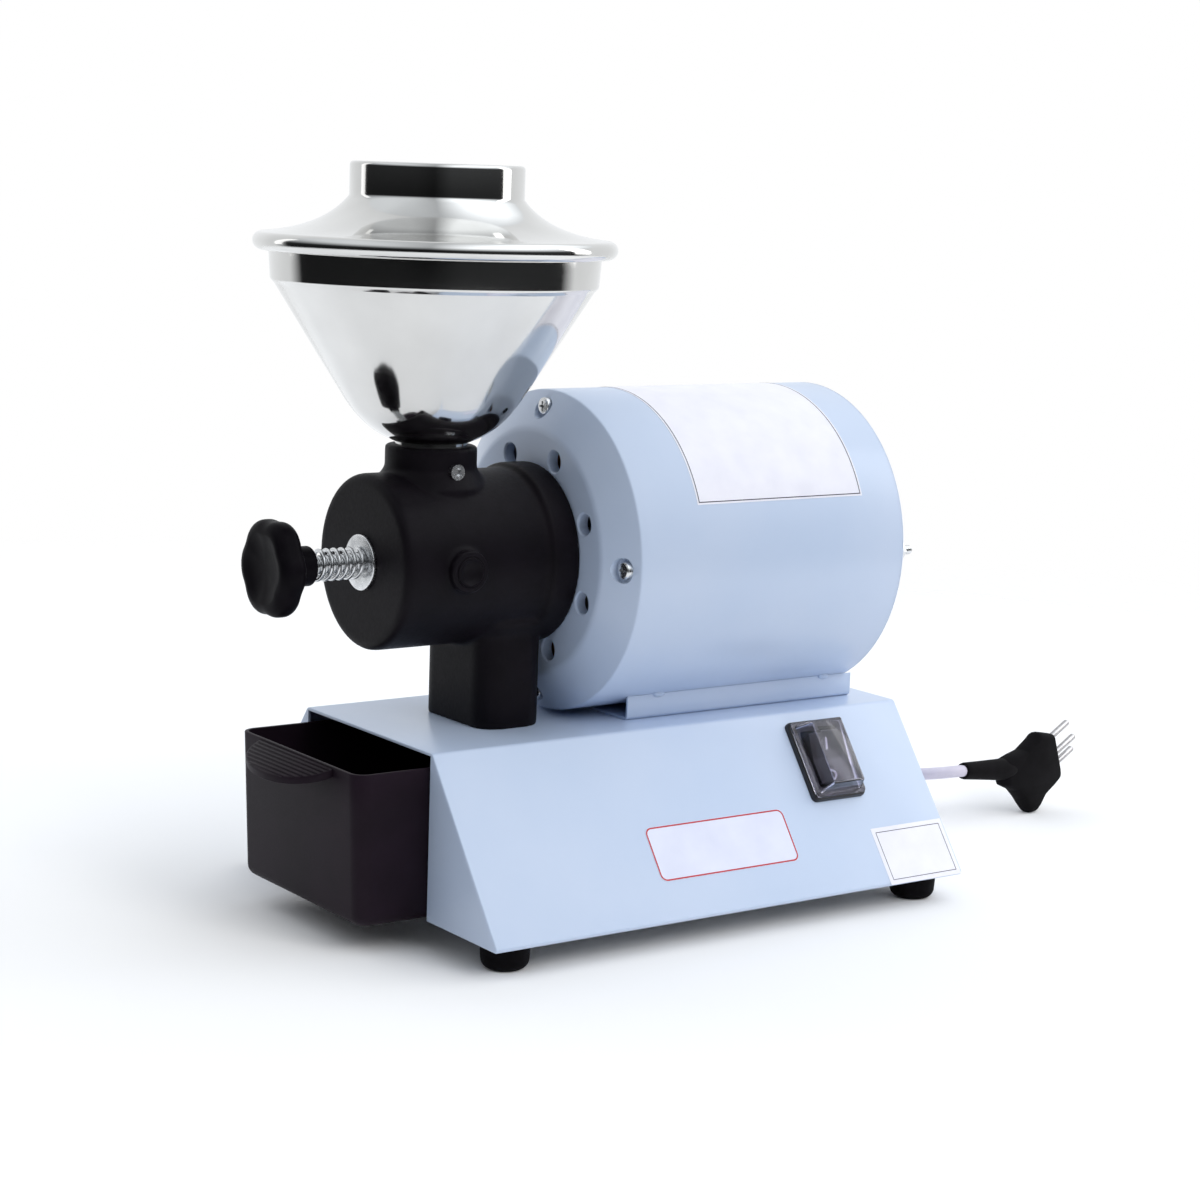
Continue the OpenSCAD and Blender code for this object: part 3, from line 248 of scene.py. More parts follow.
CAD_FINISHES = [
    (ZINC_SHEET, ["bottom_plate", "drawer_guide_left", "drawer_guide_right", "capacitor_clamp"]),
    (ZINC, ["foot_screws", "motor_foot_bolts", "mill_screws", "hopper_screw"]),
    (STEEL, ["front_bearing", "rear_bearing", "motor_shaft", "feed_screw", "rotating_burr", "fixed_burr",
             "burr_carrier"]),
    (LAMINATION, ["stator_core", "rotor_core"]), (COPPER, ["stator_windings"]), (BRASS, ["switch_terminals"]),
    (CASE, ["start_capacitor"]), (FAN, ["cooling_fan"]), (TIE, ["cord_tie"]),
]


def finish_cad_nodes():
    for finish, names in CAD_FINISHES:
        for name in names:
            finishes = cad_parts[name].data.materials
            finishes.clear()
            finishes.append(finish)


# Mesh helpers

TINY = 1e-4
PAST = 5  # how far a cutter reaches past the face it opens


def bridge(bm, a, b):
    """Faces between two rings; a ring of one vertex is a tip."""
    count = max(len(a), len(b))
    for k in range(count):
        corners = [a[k % len(a)], a[(k + 1) % len(a)], b[(k + 1) % len(b)], b[k % len(b)]]
        corners = list(dict.fromkeys(corners))
        if len(corners) > 2:
            bm.faces.new(corners)


def faced_out(bm):
    """The same skin with every face turned outward."""
    bmesh.ops.recalc_face_normals(bm, faces=bm.faces)
    if bm.calc_volume(signed=True) < 0:
        bmesh.ops.reverse_faces(bm, faces=bm.faces)
    return bm


def loft(rings, caps=True, closed=False):
    """A skin over rings of points, which all have as many points as the longest, or one."""
    bm = bmesh.new()
    made = [[bm.verts.new(p) for p in ring] for ring in rings]
    for a, b in zip(made, made[1:]):
        bridge(bm, a, b)
    if closed:
        bridge(bm, made[-1], made[0])
    elif caps:
        for ring in (made[0], made[-1]):
            if len(ring) > 2:
                bm.faces.new(ring)
    return faced_out(bm)


def polar(r, turn):
    """The flat point at a radius and a share of a whole turn."""
    return r * math.cos(TURN * turn), r * math.sin(TURN * turn)


def circle(r, h, steps):
    if r < TINY:
        return [(0, 0, h)]
    return [(*polar(r, k / steps), h) for k in range(steps)]


def lathe(profile, steps=96, closed=False):
    """A profile of radius and height turned about Z."""
    return loft([circle(r, h, steps) for r, h in profile], closed=closed)


def rod(r, low, high, steps=40):
    """A plain cylinder about Z."""
    return lathe([(0, low), (r, low), (r, high), (0, high)], steps)


def rounded(points, radii, closed=False, steps=5):
    """The corners of a flat line rounded, each by its own radius."""
    count = len(points)
    radii = radii if isinstance(radii, (list, tuple)) else [radii] * count
    made = []
    for i, (point, radius) in enumerate(zip(points, radii)):
        at = Vector(point)
        if radius < TINY or (not closed and i in (0, count - 1)):
            made.append(tuple(at))
            continue
        to_last = (Vector(points[i - 1]) - at).normalized()
        to_next = (Vector(points[(i + 1) % count]) - at).normalized()
        half = to_last.angle(to_next) / 2
        reach = radius / math.tan(half)
        centre = at + (to_last + to_next).normalized() * radius / math.sin(half)
        start = at + to_last * reach - centre
        end = at + to_next * reach - centre
        sweep = start.angle_signed(end)
        for k in range(steps + 1):
            angle = -sweep * k / steps
            c, s = math.cos(angle), math.sin(angle)
            made.append((centre.x + c * start.x - s * start.y, centre.y + s * start.x + c * start.y))
    return made


def round_rect(width, length, radius, steps=6):
    """Points of a rounded rectangle about the origin."""
    x, y = width / 2, length / 2
    return rounded([(x, -y), (x, y), (-x, y), (-x, -y)], radius, closed=True, steps=steps)


def prism(outline, depth, edge=0, steps=3):
    """An outline carried up Z by depth, its two rims rounded by edge."""
    bm = loft([[(x, y, z) for x, y in outline] for z in (0, depth)])
    if edge > TINY:
        rims = [e for e in bm.edges if abs(e.verts[0].co.z - e.verts[1].co.z) < TINY]
        bmesh.ops.bevel(bm, geom=rims, offset=edge, segments=steps, profile=0.5, affect="EDGES",
                        clamp_overlap=True)
    return bm


def ring_loft(rings, closed=False):
    """A skin over rounded rectangles, each with its width, length, corner radius and height."""
    return loft([[(x, y, z) for x, y in round_rect(width, length, radius)]
                 for width, length, radius, z in rings], closed=closed)


def tube(points, radius, sides=12):
    """A round wire through points, with flat ends."""
    path = [Vector(p) for p in points]
    side = None
    rings = []
    for i, at in enumerate(path):
        along = (path[min(i + 1, len(path) - 1)] - path[max(i - 1, 0)]).normalized()
        if side is None:
            side = along.orthogonal()
        side = (side - along * side.dot(along)).normalized()
        other = along.cross(side)
        rings.append([at + c * side + s * other for c, s, _ in circle(radius, 0, sides)])
    return loft(rings)


def moved(bm, matrix):
    bmesh.ops.transform(bm, matrix=matrix, verts=bm.verts)
    return bm


def joined(*parts):
    """Several closed skins in one mesh."""
    whole = parts[0]
    for part in parts[1:]:
        spare = bpy.data.meshes.new("spare")
        part.to_mesh(spare)
        part.free()
        whole.from_mesh(spare)
        bpy.data.meshes.remove(spare)
    return whole


def box(low, high):
    (x0, y0, z0), (x1, y1, z1) = low, high
    return loft([[(x0, y0, z), (x1, y0, z), (x1, y1, z), (x0, y1, z)] for z in (z0, z1)])


def mesh_of(bm, name):
    mesh = bpy.data.meshes.new(name)
    bm.to_mesh(mesh)
    bm.free()
    return mesh


def worked(bm, cutters=(), voxel=0, smooth=0):
    """A skin after a voxel remesh, smoothing and cuts, each if asked for."""
    target = bpy.data.objects.new("target", mesh_of(bm, "target"))
    scene.collection.objects.link(target)
    if voxel:
        remesh = target.modifiers.new("remesh", "REMESH")
        remesh.mode = "VOXEL"
        remesh.voxel_size = voxel
    if smooth:
        soften = target.modifiers.new("soften", "SMOOTH")
        soften.factor = 0.5
        soften.iterations = smooth
    tools = []
    for cutter in cutters:
        tool = bpy.data.objects.new("tool", mesh_of(cutter, "tool"))
        scene.collection.objects.link(tool)
        cut = target.modifiers.new("cut", "BOOLEAN")
        cut.operation = "DIFFERENCE"
        cut.solver = "MANIFOLD"
        cut.object = tool
        tools.append(tool)
    mesh = bpy.data.meshes.new_from_object(target.evaluated_get(bpy.context.evaluated_depsgraph_get()))
    done = bmesh.new()
    done.from_mesh(mesh)
    spares = [mesh, target.data, *[tool.data for tool in tools]]
    for obj in [target, *tools]:
        bpy.data.objects.remove(obj)
    for spare in spares:
        bpy.data.meshes.remove(spare)
    return done


def piece(name, skin, finish, body, stands_for=(), sharp=32):
    """An object of the grinder from a skin, riding on a body."""
    mesh = mesh_of(skin, name)
    mesh.transform(Matrix.Scale(MM, 4))
    mesh.materials.append(finish)
    mesh.polygons.foreach_set("use_smooth", [True] * len(mesh.polygons))
    mesh.set_sharp_from_angle(angle=math.radians(sharp))
    obj = bpy.data.objects.new(name, mesh)
    scene.collection.objects.link(obj)
    if body:
        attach(obj, body)
    if stands_for:
        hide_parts(*stands_for)
    return obj


# Cord, along the route of its CAD solids

CORD_D = 7
GLAND_END = Vector((-42, 325, 26))
SUPPLY_ROUTE = [(-42, 326, 26), (-42, 332.5, 25.3), (-42, 338.7, 23.2), (-42, 344.3, 19.9), (-42, 349, 15.4),
                (-42, 353.7, 10.8), (-42, 359.3, 7.5), (-42, 365.5, 5.4), (-42, 372, 4.7), (-42, 376, 4.7)]
PLUG_ROUTE = [(-64.4, 345.2, 27.8), (-57.7, 347.4, 27.8), (-40.6, 353, 29.5), (-24.4, 358.2, 31.9),
              (-10.5, 362.7, 34.2), (0.1, 368.5, 35.8), (7.9, 377.6, 37), (11.9, 389, 37.4),
              (11.6, 401, 36.93), (10.89, 404.35, 36.51)]
COIL_AT = Vector((-84, 383, 4.7))
COIL_R = 42
COIL_LAYERS = 4
COIL_TURNS = 4.8
COIL_STEP = 7.7
LOOP_POINTS = 24


def in_frame(point):
    """A point of the CAD source, in millimetres from the front of the base."""
    x, y, z = point
    return Vector((x, FRONT + y, z))


GLAND_AXIS = shift(GLAND_END.x, BASE_HIGH.y, GLAND_END.z) @ ALONG_Y


def coil_point(turn):
    layer = turn * COIL_LAYERS / COIL_TURNS
    whole = math.floor(layer)
    share = layer - whole if whole % 2 == 0 else 1 - layer + whole
    r = COIL_R - COIL_STEP * share * COIL_TURNS / COIL_LAYERS
    near = math.floor(layer + 0.5)
    half = 0.25 * COIL_LAYERS / COIL_TURNS
    if near in (0, COIL_LAYERS):
        rise = math.floor(min(layer, COIL_LAYERS - 0.01))
    else:
        rise = near - 1 + min(1, max(0, (layer - near + half) / (2 * half)))
    return COIL_AT + Vector((*polar(r, turn), COIL_STEP * rise))


def cord_route():
    count = round(COIL_TURNS * LOOP_POINTS)
    coil = [coil_point(COIL_TURNS * i / count) for i in range(count + 1)]
    return [in_frame(p) for p in [GLAND_END, *SUPPLY_ROUTE, *coil, *PLUG_ROUTE]]


def make_cord(ends):
    route = cord_route()
    data = bpy.data.curves.new("mains_cord", "CURVE")
    data.dimensions = "3D"
    data.bevel_depth = CORD_D / 2 * MM
    data.bevel_resolution = 4
    data.use_fill_caps = True
    data.resolution_u = 4
    line = data.splines.new("BEZIER")
    line.bezier_points.add(len(route) - 1)
    for knot, at in zip(line.bezier_points, route):
        knot.co = at * MM
        knot.handle_left_type = knot.handle_right_type = "AUTO"
    data.materials.append(SHEATH)
    cord = bpy.data.objects.new("mains_cord", data)
    scene.collection.objects.link(cord)
    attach(cord, "base")
    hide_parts("supply_cord", "cord_coil", "plug_lead")


# Plug, standing on its lower edge

PLUG_AT = (-4.3, 475.8, 0)
PLUG_YAW = math.radians(102)
PLUG_T = 11
PLUG_MIDDLE = Vector((0, 26))
PLUG_RIM = [(0.86, 0), (0.93, 0.7), (0.975, 2), (1, 4)]
MIDDLE_PIN_SIDE = -3
PIN_TILT = math.radians(22)
PIN_FACE = Vector((24.5, 35.5))
PIN_ROW = Vector((math.sin(PIN_TILT), -math.cos(PIN_TILT)))
FACE_ENDS = (13, -12)
PIN_SPACING = 9.5
PIN_L = 19
PIN_R = 2
PIN_ROOT = 2
PIN_ROUND = 1.2
SLEEVE_AT = (-73, 0, 36.5)
SLEEVE_TURN = math.radians(97)


def plug_frame():
    return shift(*in_frame(PLUG_AT)) @ turned(PLUG_YAW, "Z")


def make_plug():
    face = [tuple(PIN_FACE + reach * PIN_ROW) for reach in FACE_ENDS]
    outline = [(-2, 0), (4, 0), (8, 3), (13, 9), (24, 14.5), (30.5, 18.5), *face, (11, 48.5), (4, 49.8),
               (-1, 46.5), (-12, 41), (-22, 39.5), (-34, 37), (-32, 21.5), (-21, 17), (-13, 10.5), (-6, 3.5)]
    radii = [2, 2, 4, 6, 4, 3, 2, 2, 4, 4, 4, 6, 8, 3, 3, 6, 6, 4]
    outline = [Vector(at) for at in rounded(outline, radii, closed=True, steps=3)]
    levels = [*PLUG_RIM, *[(share, PLUG_T - h) for share, h in reversed(PLUG_RIM)]]
    rings = [[(*PLUG_MIDDLE.lerp(at, share), h) for at in outline] for share, h in levels]
    head = moved(loft(rings), shift(0, PLUG_T / 2, 0) @ STAND_Y)
    profile = [(0, 0), (4.1, 0), (4.8, 0.6), (5.1, 2), (5.2, 5), (5.6, 16), (6.1, 28), (6.6, 39), (6.6, 43),
               (6.3, 47), (5.6, 51), (4.4, 54), (0, 55)]
    sleeve = moved(lathe(profile, 40), shift(*SLEEVE_AT) @ turned(SLEEVE_TURN, "Y"))
    body = moved(joined(head, sleeve), plug_frame())
    pins = []
    for i in (-1, 0, 1):
        u, v = PIN_FACE + i * PIN_SPACING * PIN_ROW
        tip = rounded([(PIN_R, 0), (PIN_R, PIN_L), (0, PIN_L)], PIN_ROUND)
        pin = lathe([(0, -PIN_ROOT), (PIN_R, -PIN_ROOT), *tip], 24)
        side = MIDDLE_PIN_SIDE if i == 0 else 0
        pins.append(moved(pin, shift(u, side, v) @ turned(TURN / 4 - PIN_TILT, "Y")))
    contacts = moved(joined(*pins), plug_frame())
    return [
        piece("plug_moulding", body, RUBBER, "base", ["plug_body"]),
        piece("plug_contacts", contacts, NICKEL, "base", ["plug_pins"]),
    ]


def make_gland():
    """Strain relief where the cord leaves the base."""
    profile = [(0, -5.5), (5.9, -5.5), (5.9, 0), (9, 0), (9, 2.2), (8.2, 3), (6.6, 3)]
    for k in range(5):
        along = 4.5 + 4 * k
        r = 6.5 - 0.35 * k
        profile += [(r, along - 1.2), (r, along + 1.2), (r - 0.7, along + 1.5), (r - 0.7, along + 2.5)]
    profile += [(4.8, 24.4), (4.4, 25), (0, 25)]
    skin = moved(lathe(profile, 40), GLAND_AXIS)
    return piece("strain_relief", skin, RUBBER, "base", ["cord_gland"])


# Base

SHEET = 1.5
BEND_R = 3
LIP = 30
SHEET_X = SHEET * SLOPE_LEN / BASE_H
MOUTH_HALF = 60.8
SPOUT_Y = 69
CHUTE = (54, 30, 8)
SWITCH_Y = 236
SWITCH_S = 30
SWITCH_HOLE = Vector((18.7, 13.7, 6))
SWITCH_AXIS = slope_frame(SWITCH_Y, SWITCH_S)
SPOUT_AXIS = shift(0, FRONT + SPOUT_Y, 0)


def along_y(outline, y0, y1, edge=0):
    """An outline in X and Z carried from y0 to y1."""
    return moved(prism(outline, y1 - y0, edge), shift(0, y1, 0) @ STAND_Y)


def make_base_shell():
    low, top = BASE_LOW.z, BASE_HIGH.z
    wide = BASE_HIGH.x
    outline = rounded([(-wide, low), (wide, low), (TOP_HALF, top), (-TOP_HALF, top)],
                      [1.5, 1.5, BEND_R, BEND_R], closed=True)
    inner_low = wide - SHEET_X - SIDE_RUN * SHEET / BASE_H
    inner_top = TOP_HALF - SHEET_X + SIDE_RUN * SHEET / BASE_H
    hollow = rounded([(-inner_low, low + SHEET), (inner_low, low + SHEET), (inner_top, top - SHEET),
                      (-inner_top, top - SHEET)], [0.5, 0.5, BEND_R / 2, BEND_R / 2], closed=True)
    y0, y1 = BASE_LOW.y, BASE_HIGH.y
    cutters = [
        along_y(hollow, y0 + SHEET, y1 - SHEET),
        box((LIP - wide, y0 + SHEET, low - PAST), (wide - LIP, y1 - SHEET, low + PAST)),
        box((-MOUTH_HALF, y0 - PAST, low - PAST), (MOUTH_HALF, y0 + PAST, top - SHEET)),
        moved(prism(round_rect(*CHUTE), 2 * PAST), SPOUT_AXIS @ shift(0, 0, top - PAST)),
        moved(box(-SWITCH_HOLE, SWITCH_HOLE), SWITCH_AXIS),
        moved(rod(6, -6, 6), GLAND_AXIS),
    ]
    skin = worked(along_y(outline, y0, y1, 0.7), cutters)
    piece("base_casing", skin, PAINT, "base", ["base_shell"])


FOOT_EDGE = 5
FOOT_R = 12.5
FOOT_HOLE_R = 2.6


def make_feet():
    for name in ("front_left", "front_right", "rear_left", "rear_right"):
        low, high = node_box("foot_" + name)
        middle = (low + high) / 2
        height = high.z - low.z
        profile = [(6, 5), (6, 0.6), (6.6, 0)]
        profile += rounded([(7, 0), (FOOT_R - 0.8, 0), (FOOT_R, height - 1), (FOOT_R - 0.6, height),
                            (FOOT_HOLE_R, height)], [0, FOOT_EDGE, 0.4, 0, 0], steps=7)
        profile += [(FOOT_HOLE_R, 5)]
        skin = moved(lathe(profile, 56, closed=True), shift(middle.x, middle.y, low.z))
        piece("rubber_foot_" + name, skin, RUBBER, "base", ["foot_" + name])


# Drawer

DRAWER_R = 8
DRAWER_WALL = 2.2
DRAWER_LEAN = 3
DRAWER_FLOOR_R = 6
LEDGE_W = 74
LEDGE_OUT = 19.5
LEDGE_DROP = 1
LEDGE_FALL = 6.5
LEDGE_T = 4
LEDGE_RIBS = 7
RIB_R = 0.9


def drawer_ring(inset, z):
    """Outline of the drawer at a height, moved inward by inset."""
    y0, y1 = DRAWER_LOW.y + LEDGE_OUT, DRAWER_HIGH.y
    lean = DRAWER_LEAN * (DRAWER_HIGH.z - z) / (DRAWER_HIGH.z - DRAWER_LOW.z)
    width = 2 * DRAWER_HIGH.x - 2 * inset
    length = y1 - y0 - 2 * lean - 2 * inset
    corner = max(DRAWER_R - inset, 1.5)
    return [(x, y + (y0 + y1) / 2, z) for x, y in round_rect(width, length, corner, 8)]


def drawer_floor(inset, z, radius, steps=6):
    """Rings that turn from the wall into the floor, from the floor up."""
    made = []
    for k in range(steps + 1):
        a = TURN / 4 * k / steps
        made.append(drawer_ring(inset + radius * (1 - math.sin(a)), z + radius * (1 - math.cos(a))))
    return made


def drawer_ledge():
    """Half an oval plate that falls away from the rim, with ribs along its width."""
    wall_y = DRAWER_LOW.y + LEDGE_OUT
    top = DRAWER_HIGH.z - LEDGE_DROP
    slope = LEDGE_FALL / LEDGE_OUT
    root = 1.6
    edge = 0.9
    steps = 64
    rings = []
    for k in range(1, steps):
        a = TURN / 2 * k / steps
        x, out = LEDGE_W / 2 * math.cos(a), LEDGE_OUT * math.sin(a)
        soft = min(edge, out / 2)
        section = [(-root, top - LEDGE_T), (0, top - LEDGE_T)]
        for turn in range(-90, 91, 30):
            o = out - soft + soft * math.cos(math.radians(turn))
            middle = top - slope * o - LEDGE_T / 2
            rise = math.sin(math.radians(turn)) * soft + math.copysign(LEDGE_T / 2 - soft, turn)
            section.append((o, middle + rise))
        section += [(0, top), (-root, top)]
        rings.append([(x, wall_y - o, z) for o, z in section])
    parts = [loft(rings)]
    for k in range(LEDGE_RIBS):
        out = LEDGE_OUT * (k + 0.6) / (LEDGE_RIBS + 0.6)
        half = LEDGE_W / 2 * math.sqrt(1 - (out / LEDGE_OUT) ** 2) - 0.6
        ends = ((-half, 0.3), (-half + 1.5, 1), (half - 1.5, 1), (half, 0.3))
        z = top - slope * out - 0.2
        parts.append(loft([[(x, wall_y - out + a, z + b) for a, b, _ in circle(RIB_R * share, 0, 8)]
                           for x, share in ends]))
    return joined(*parts)


def make_drawer():
    low, high = DRAWER_LOW.z, DRAWER_HIGH.z
    rings = drawer_floor(0, low, DRAWER_FLOOR_R)
    rings += [drawer_ring(0, low + (high - low) * k / 4) for k in (1, 2, 3)]
    rim = [(0, 0.5), (0.2, 0.15), (0.6, 0), (DRAWER_WALL - 0.6, 0), (DRAWER_WALL - 0.15, 0.2),
           (DRAWER_WALL, 0.6)]
    rings += [drawer_ring(inset, high - drop) for inset, drop in rim]
    rings += [drawer_ring(DRAWER_WALL, low + (high - low) * k / 4) for k in (3, 2, 1)]
    rings += drawer_floor(DRAWER_WALL, low + DRAWER_WALL, DRAWER_FLOOR_R - DRAWER_WALL)[::-1]
    skin = joined(loft(rings), drawer_ledge())
    piece("grounds_drawer", skin, MOULDED, "drawer", ["drawer"], sharp=40)


# Mill

CAST_VOXEL = 1.1
NECK_R = 23.3
MILL_R = 44.5
FLANGE_R = 47
FLANGE_T = 17
CHAMBER_R = 35
FRONT_WALL = 12
BORE_R = 18.5
SCREW_BORE_R = 5.3
SPOUT_W = 62
SPOUT_D = 38
CHUTE_H = 72
BOSS_Y = 28
BOSS_R = 10.5
BOSS_X = 49.5
STUD_R = 7.5


def make_mill():
    y0, y1 = MILL_LOW.y, MILL_HIGH.y
    step_y = y1 - FLANGE_T
    barrel = rounded([(0, y0), (MILL_R, y0), (MILL_R, step_y), (FLANGE_R, step_y + 2), (FLANGE_R, y1),
                      (0, y1)], [0, 4, 1, 1, 0.5, 0])
    neck_z = MILL_HIGH.z
    neck = [(0, AXIS_Z), (NECK_R, AXIS_Z), (NECK_R + 6, AXIS_Z + MILL_R - 7), (NECK_R, AXIS_Z + MILL_R + 2),
            *rounded([(NECK_R, neck_z - 4), (NECK_R, neck_z), (0, neck_z)], 1.2)]
    spout = [[(x * k, y * k, z) for x, y in round_rect(SPOUT_W, SPOUT_D, 12, 8)]
             for k, z in ((1, MILL_LOW.z), (1, AXIS_Z - 38), (1.1, AXIS_Z - 32), (1.1, AXIS_Z))]
    boss_axis = shift(0, FRONT + BOSS_Y, AXIS_Z) @ turned(TURN / 4, "Y")
    boss = [(0, 0), (BOSS_R + 1, 0), (BOSS_R + 1, MILL_R - 2), (BOSS_R - 1, BOSS_X - 2), (0, BOSS_X - 2)]
    solids = joined(
        moved(lathe(barrel, 128), MOTOR_AXIS), moved(lathe(neck), HOPPER_AXIS),
        moved(loft(spout), SPOUT_AXIS), moved(lathe(boss, 64), boss_axis),
    )
    eye_r = STUD_R + 0.05
    cutters = [
        moved(rod(CHAMBER_R, y0 + FRONT_WALL, y1 + PAST, 96), MOTOR_AXIS),
        moved(rod(BORE_R, AXIS_Z, neck_z + PAST, 64), HOPPER_AXIS),
        moved(prism(round_rect(*CHUTE), CHUTE_H), SPOUT_AXIS @ shift(0, 0, MILL_LOW.z - PAST)),
        moved(rod(SCREW_BORE_R, y0 - PAST, y0 + FRONT_WALL + 3), MOTOR_AXIS),
        moved(rod(eye_r, 30, BOSS_X + 4, 48), boss_axis),
    ]
    collar = rounded([(eye_r, MILL_R - 6), (BOSS_R, MILL_R - 6), (BOSS_R, BOSS_X), (eye_r, BOSS_X)],
                     [0, 0, 1.1, 0.4], closed=True)
    casting = joined(worked(solids, cutters, voxel=CAST_VOXEL, smooth=6),
                     moved(lathe(collar, 64, closed=True), boss_axis))
    piece("mill_casting", casting, CAST, "base", ["mill_body"], sharp=40)
    stud = lathe([(0, 32), (3, 32), (3, 35.5), (STUD_R, 35.5), (STUD_R, BOSS_X),
                  (STUD_R - 0.4, BOSS_X + 0.5), (STUD_R - 1, BOSS_X + 0.5),
                  (STUD_R - 2, BOSS_X - 0.5), (STUD_R / 2, BOSS_X - 1.5), (0, BOSS_X - 1.6)], 48)
    piece("guide_plug", moved(stud, boss_axis), CAST, "base", ["side_plug"])


# Hopper and lid

HOPPER_SHEET = 1.2
SPUN_STEPS = 160


def sheet_profile(outer, thickness):
    """A closed profile from an outer line, moved inward by the sheet for the way back."""
    line = [Vector(p) for p in outer]
    inner = []
    for i, at in enumerate(line):
        along = (line[min(i + 1, len(line) - 1)] - line[max(i - 1, 0)]).normalized()
        inner.append((at.x - along.y * thickness, at.y + along.x * thickness))
    return [tuple(p) for p in line] + inner[::-1]


def curve3(a, b, c, steps):
    """A quadratic curve from a to c that leans toward b."""
    a, b, c = Vector(a), Vector(b), Vector(c)
    shares = [k / steps for k in range(steps + 1)]
    return [tuple(a.lerp(b, t).lerp(b.lerp(c, t), t)) for t in shares]


def make_hopper():
    neck_z = MILL_HIGH.z
    rim_z = HOPPER_HIGH.z
    rim_r = HOPPER_HIGH.x
    band = 14
    foot_r = BORE_R - 0.1
    cone = (44, neck_z + 22)
    outer = [(foot_r, HOPPER_LOW.z), *curve3((foot_r, neck_z + 1.5), (34, neck_z + 7), cone, 14)]
    shoulder = rounded([cone, (rim_r - 3, rim_z - band - 2), (rim_r - 1, rim_z - band), (rim_r, rim_z)],
                       [0, 3, 2, 0])
    profile = sheet_profile(outer + shoulder[1:], HOPPER_SHEET)
    skin = moved(lathe(profile, SPUN_STEPS, closed=True), HOPPER_AXIS)
    piece("hopper_bowl", skin, SPUN, "base", ["hopper"], sharp=50)


def make_lid():
    lid_z = LID_LOW.z + 7
    top = LID_HIGH.z
    brim_r = LID_HIGH.x
    bead = 4.5
    crown_r = 43.6
    centre = Vector((brim_r - bead, lid_z + bead))
    roll = [tuple(centre + Vector(polar(bead, k / 24 - 0.25))) for k in range(13)]
    waist = (crown_r, lid_z + 28)
    flare = curve3((brim_r - bead, lid_z + 2 * bead), (56, lid_z + 12), waist, 18)
    crown = rounded([waist, (crown_r, lid_z + 29), (crown_r, top), (0, top)], [0, 0, 2, 0])
    skirt_r = 80.3
    inner_flare = [(r - HOPPER_SHEET * 0.6, z - HOPPER_SHEET * 0.8) for r, z in flare]
    profile = [*roll, *flare[1:], *crown[1:], (0, top - HOPPER_SHEET), (crown_r - 3, top - HOPPER_SHEET),
               (crown_r - HOPPER_SHEET, top - 3), *inner_flare[1:][::-1],
               (skirt_r - HOPPER_SHEET, lid_z + 6.8), (skirt_r - HOPPER_SHEET, LID_LOW.z),
               (skirt_r, LID_LOW.z), (skirt_r, lid_z)]
    skin = moved(lathe(profile, SPUN_STEPS, closed=True), HOPPER_AXIS)
    piece("lid_spinning", skin, SPUN, "lid", ["hopper_lid"], sharp=40)


# Motor

SHELL_WALL = 2
BELL_FACE_R = 64.3
BELL_WALL = 6
SPIGOT_L = 6.5
SPIGOT_WALL = 4
HOUSING_L = 16
HOUSING_WALL = 6
SEAT_WALL = 4.5
VENTS = 8
VENT_CIRCLE = 53
VENT_R = 5.5
RODS = 4
ROD_CIRCLE = 75.5
POCKET_R = 6.5
POCKET_DEPTH = 9
ROD_R = 2.5
HEAD_R = 4.6
CROSS = (5.2, 1.1)
NUT_ACROSS = 8
NUT_T = 4


def round_axis(count, radius, first=0):
    """Frames round the motor axis, Z along it, the first at a share of a turn."""
    for i in range(count):
        x, z = polar(radius, first + i / count)
        yield shift(x, 0, AXIS_Z + z) @ ALONG_Y


def make_motor_shell():
    y0, y1 = SHELL_LOW.y, SHELL_HIGH.y
    inner = MOTOR_R - SHELL_WALL
    profile = rounded([(inner, y0), (MOTOR_R, y0), (MOTOR_R, y1), (inner, y1)], 0.5, closed=True, steps=3)
    skin = moved(lathe(profile, SPUN_STEPS, closed=True), MOTOR_AXIS)
    piece("motor_casing", skin, PAINT, "base", ["motor_shell"])


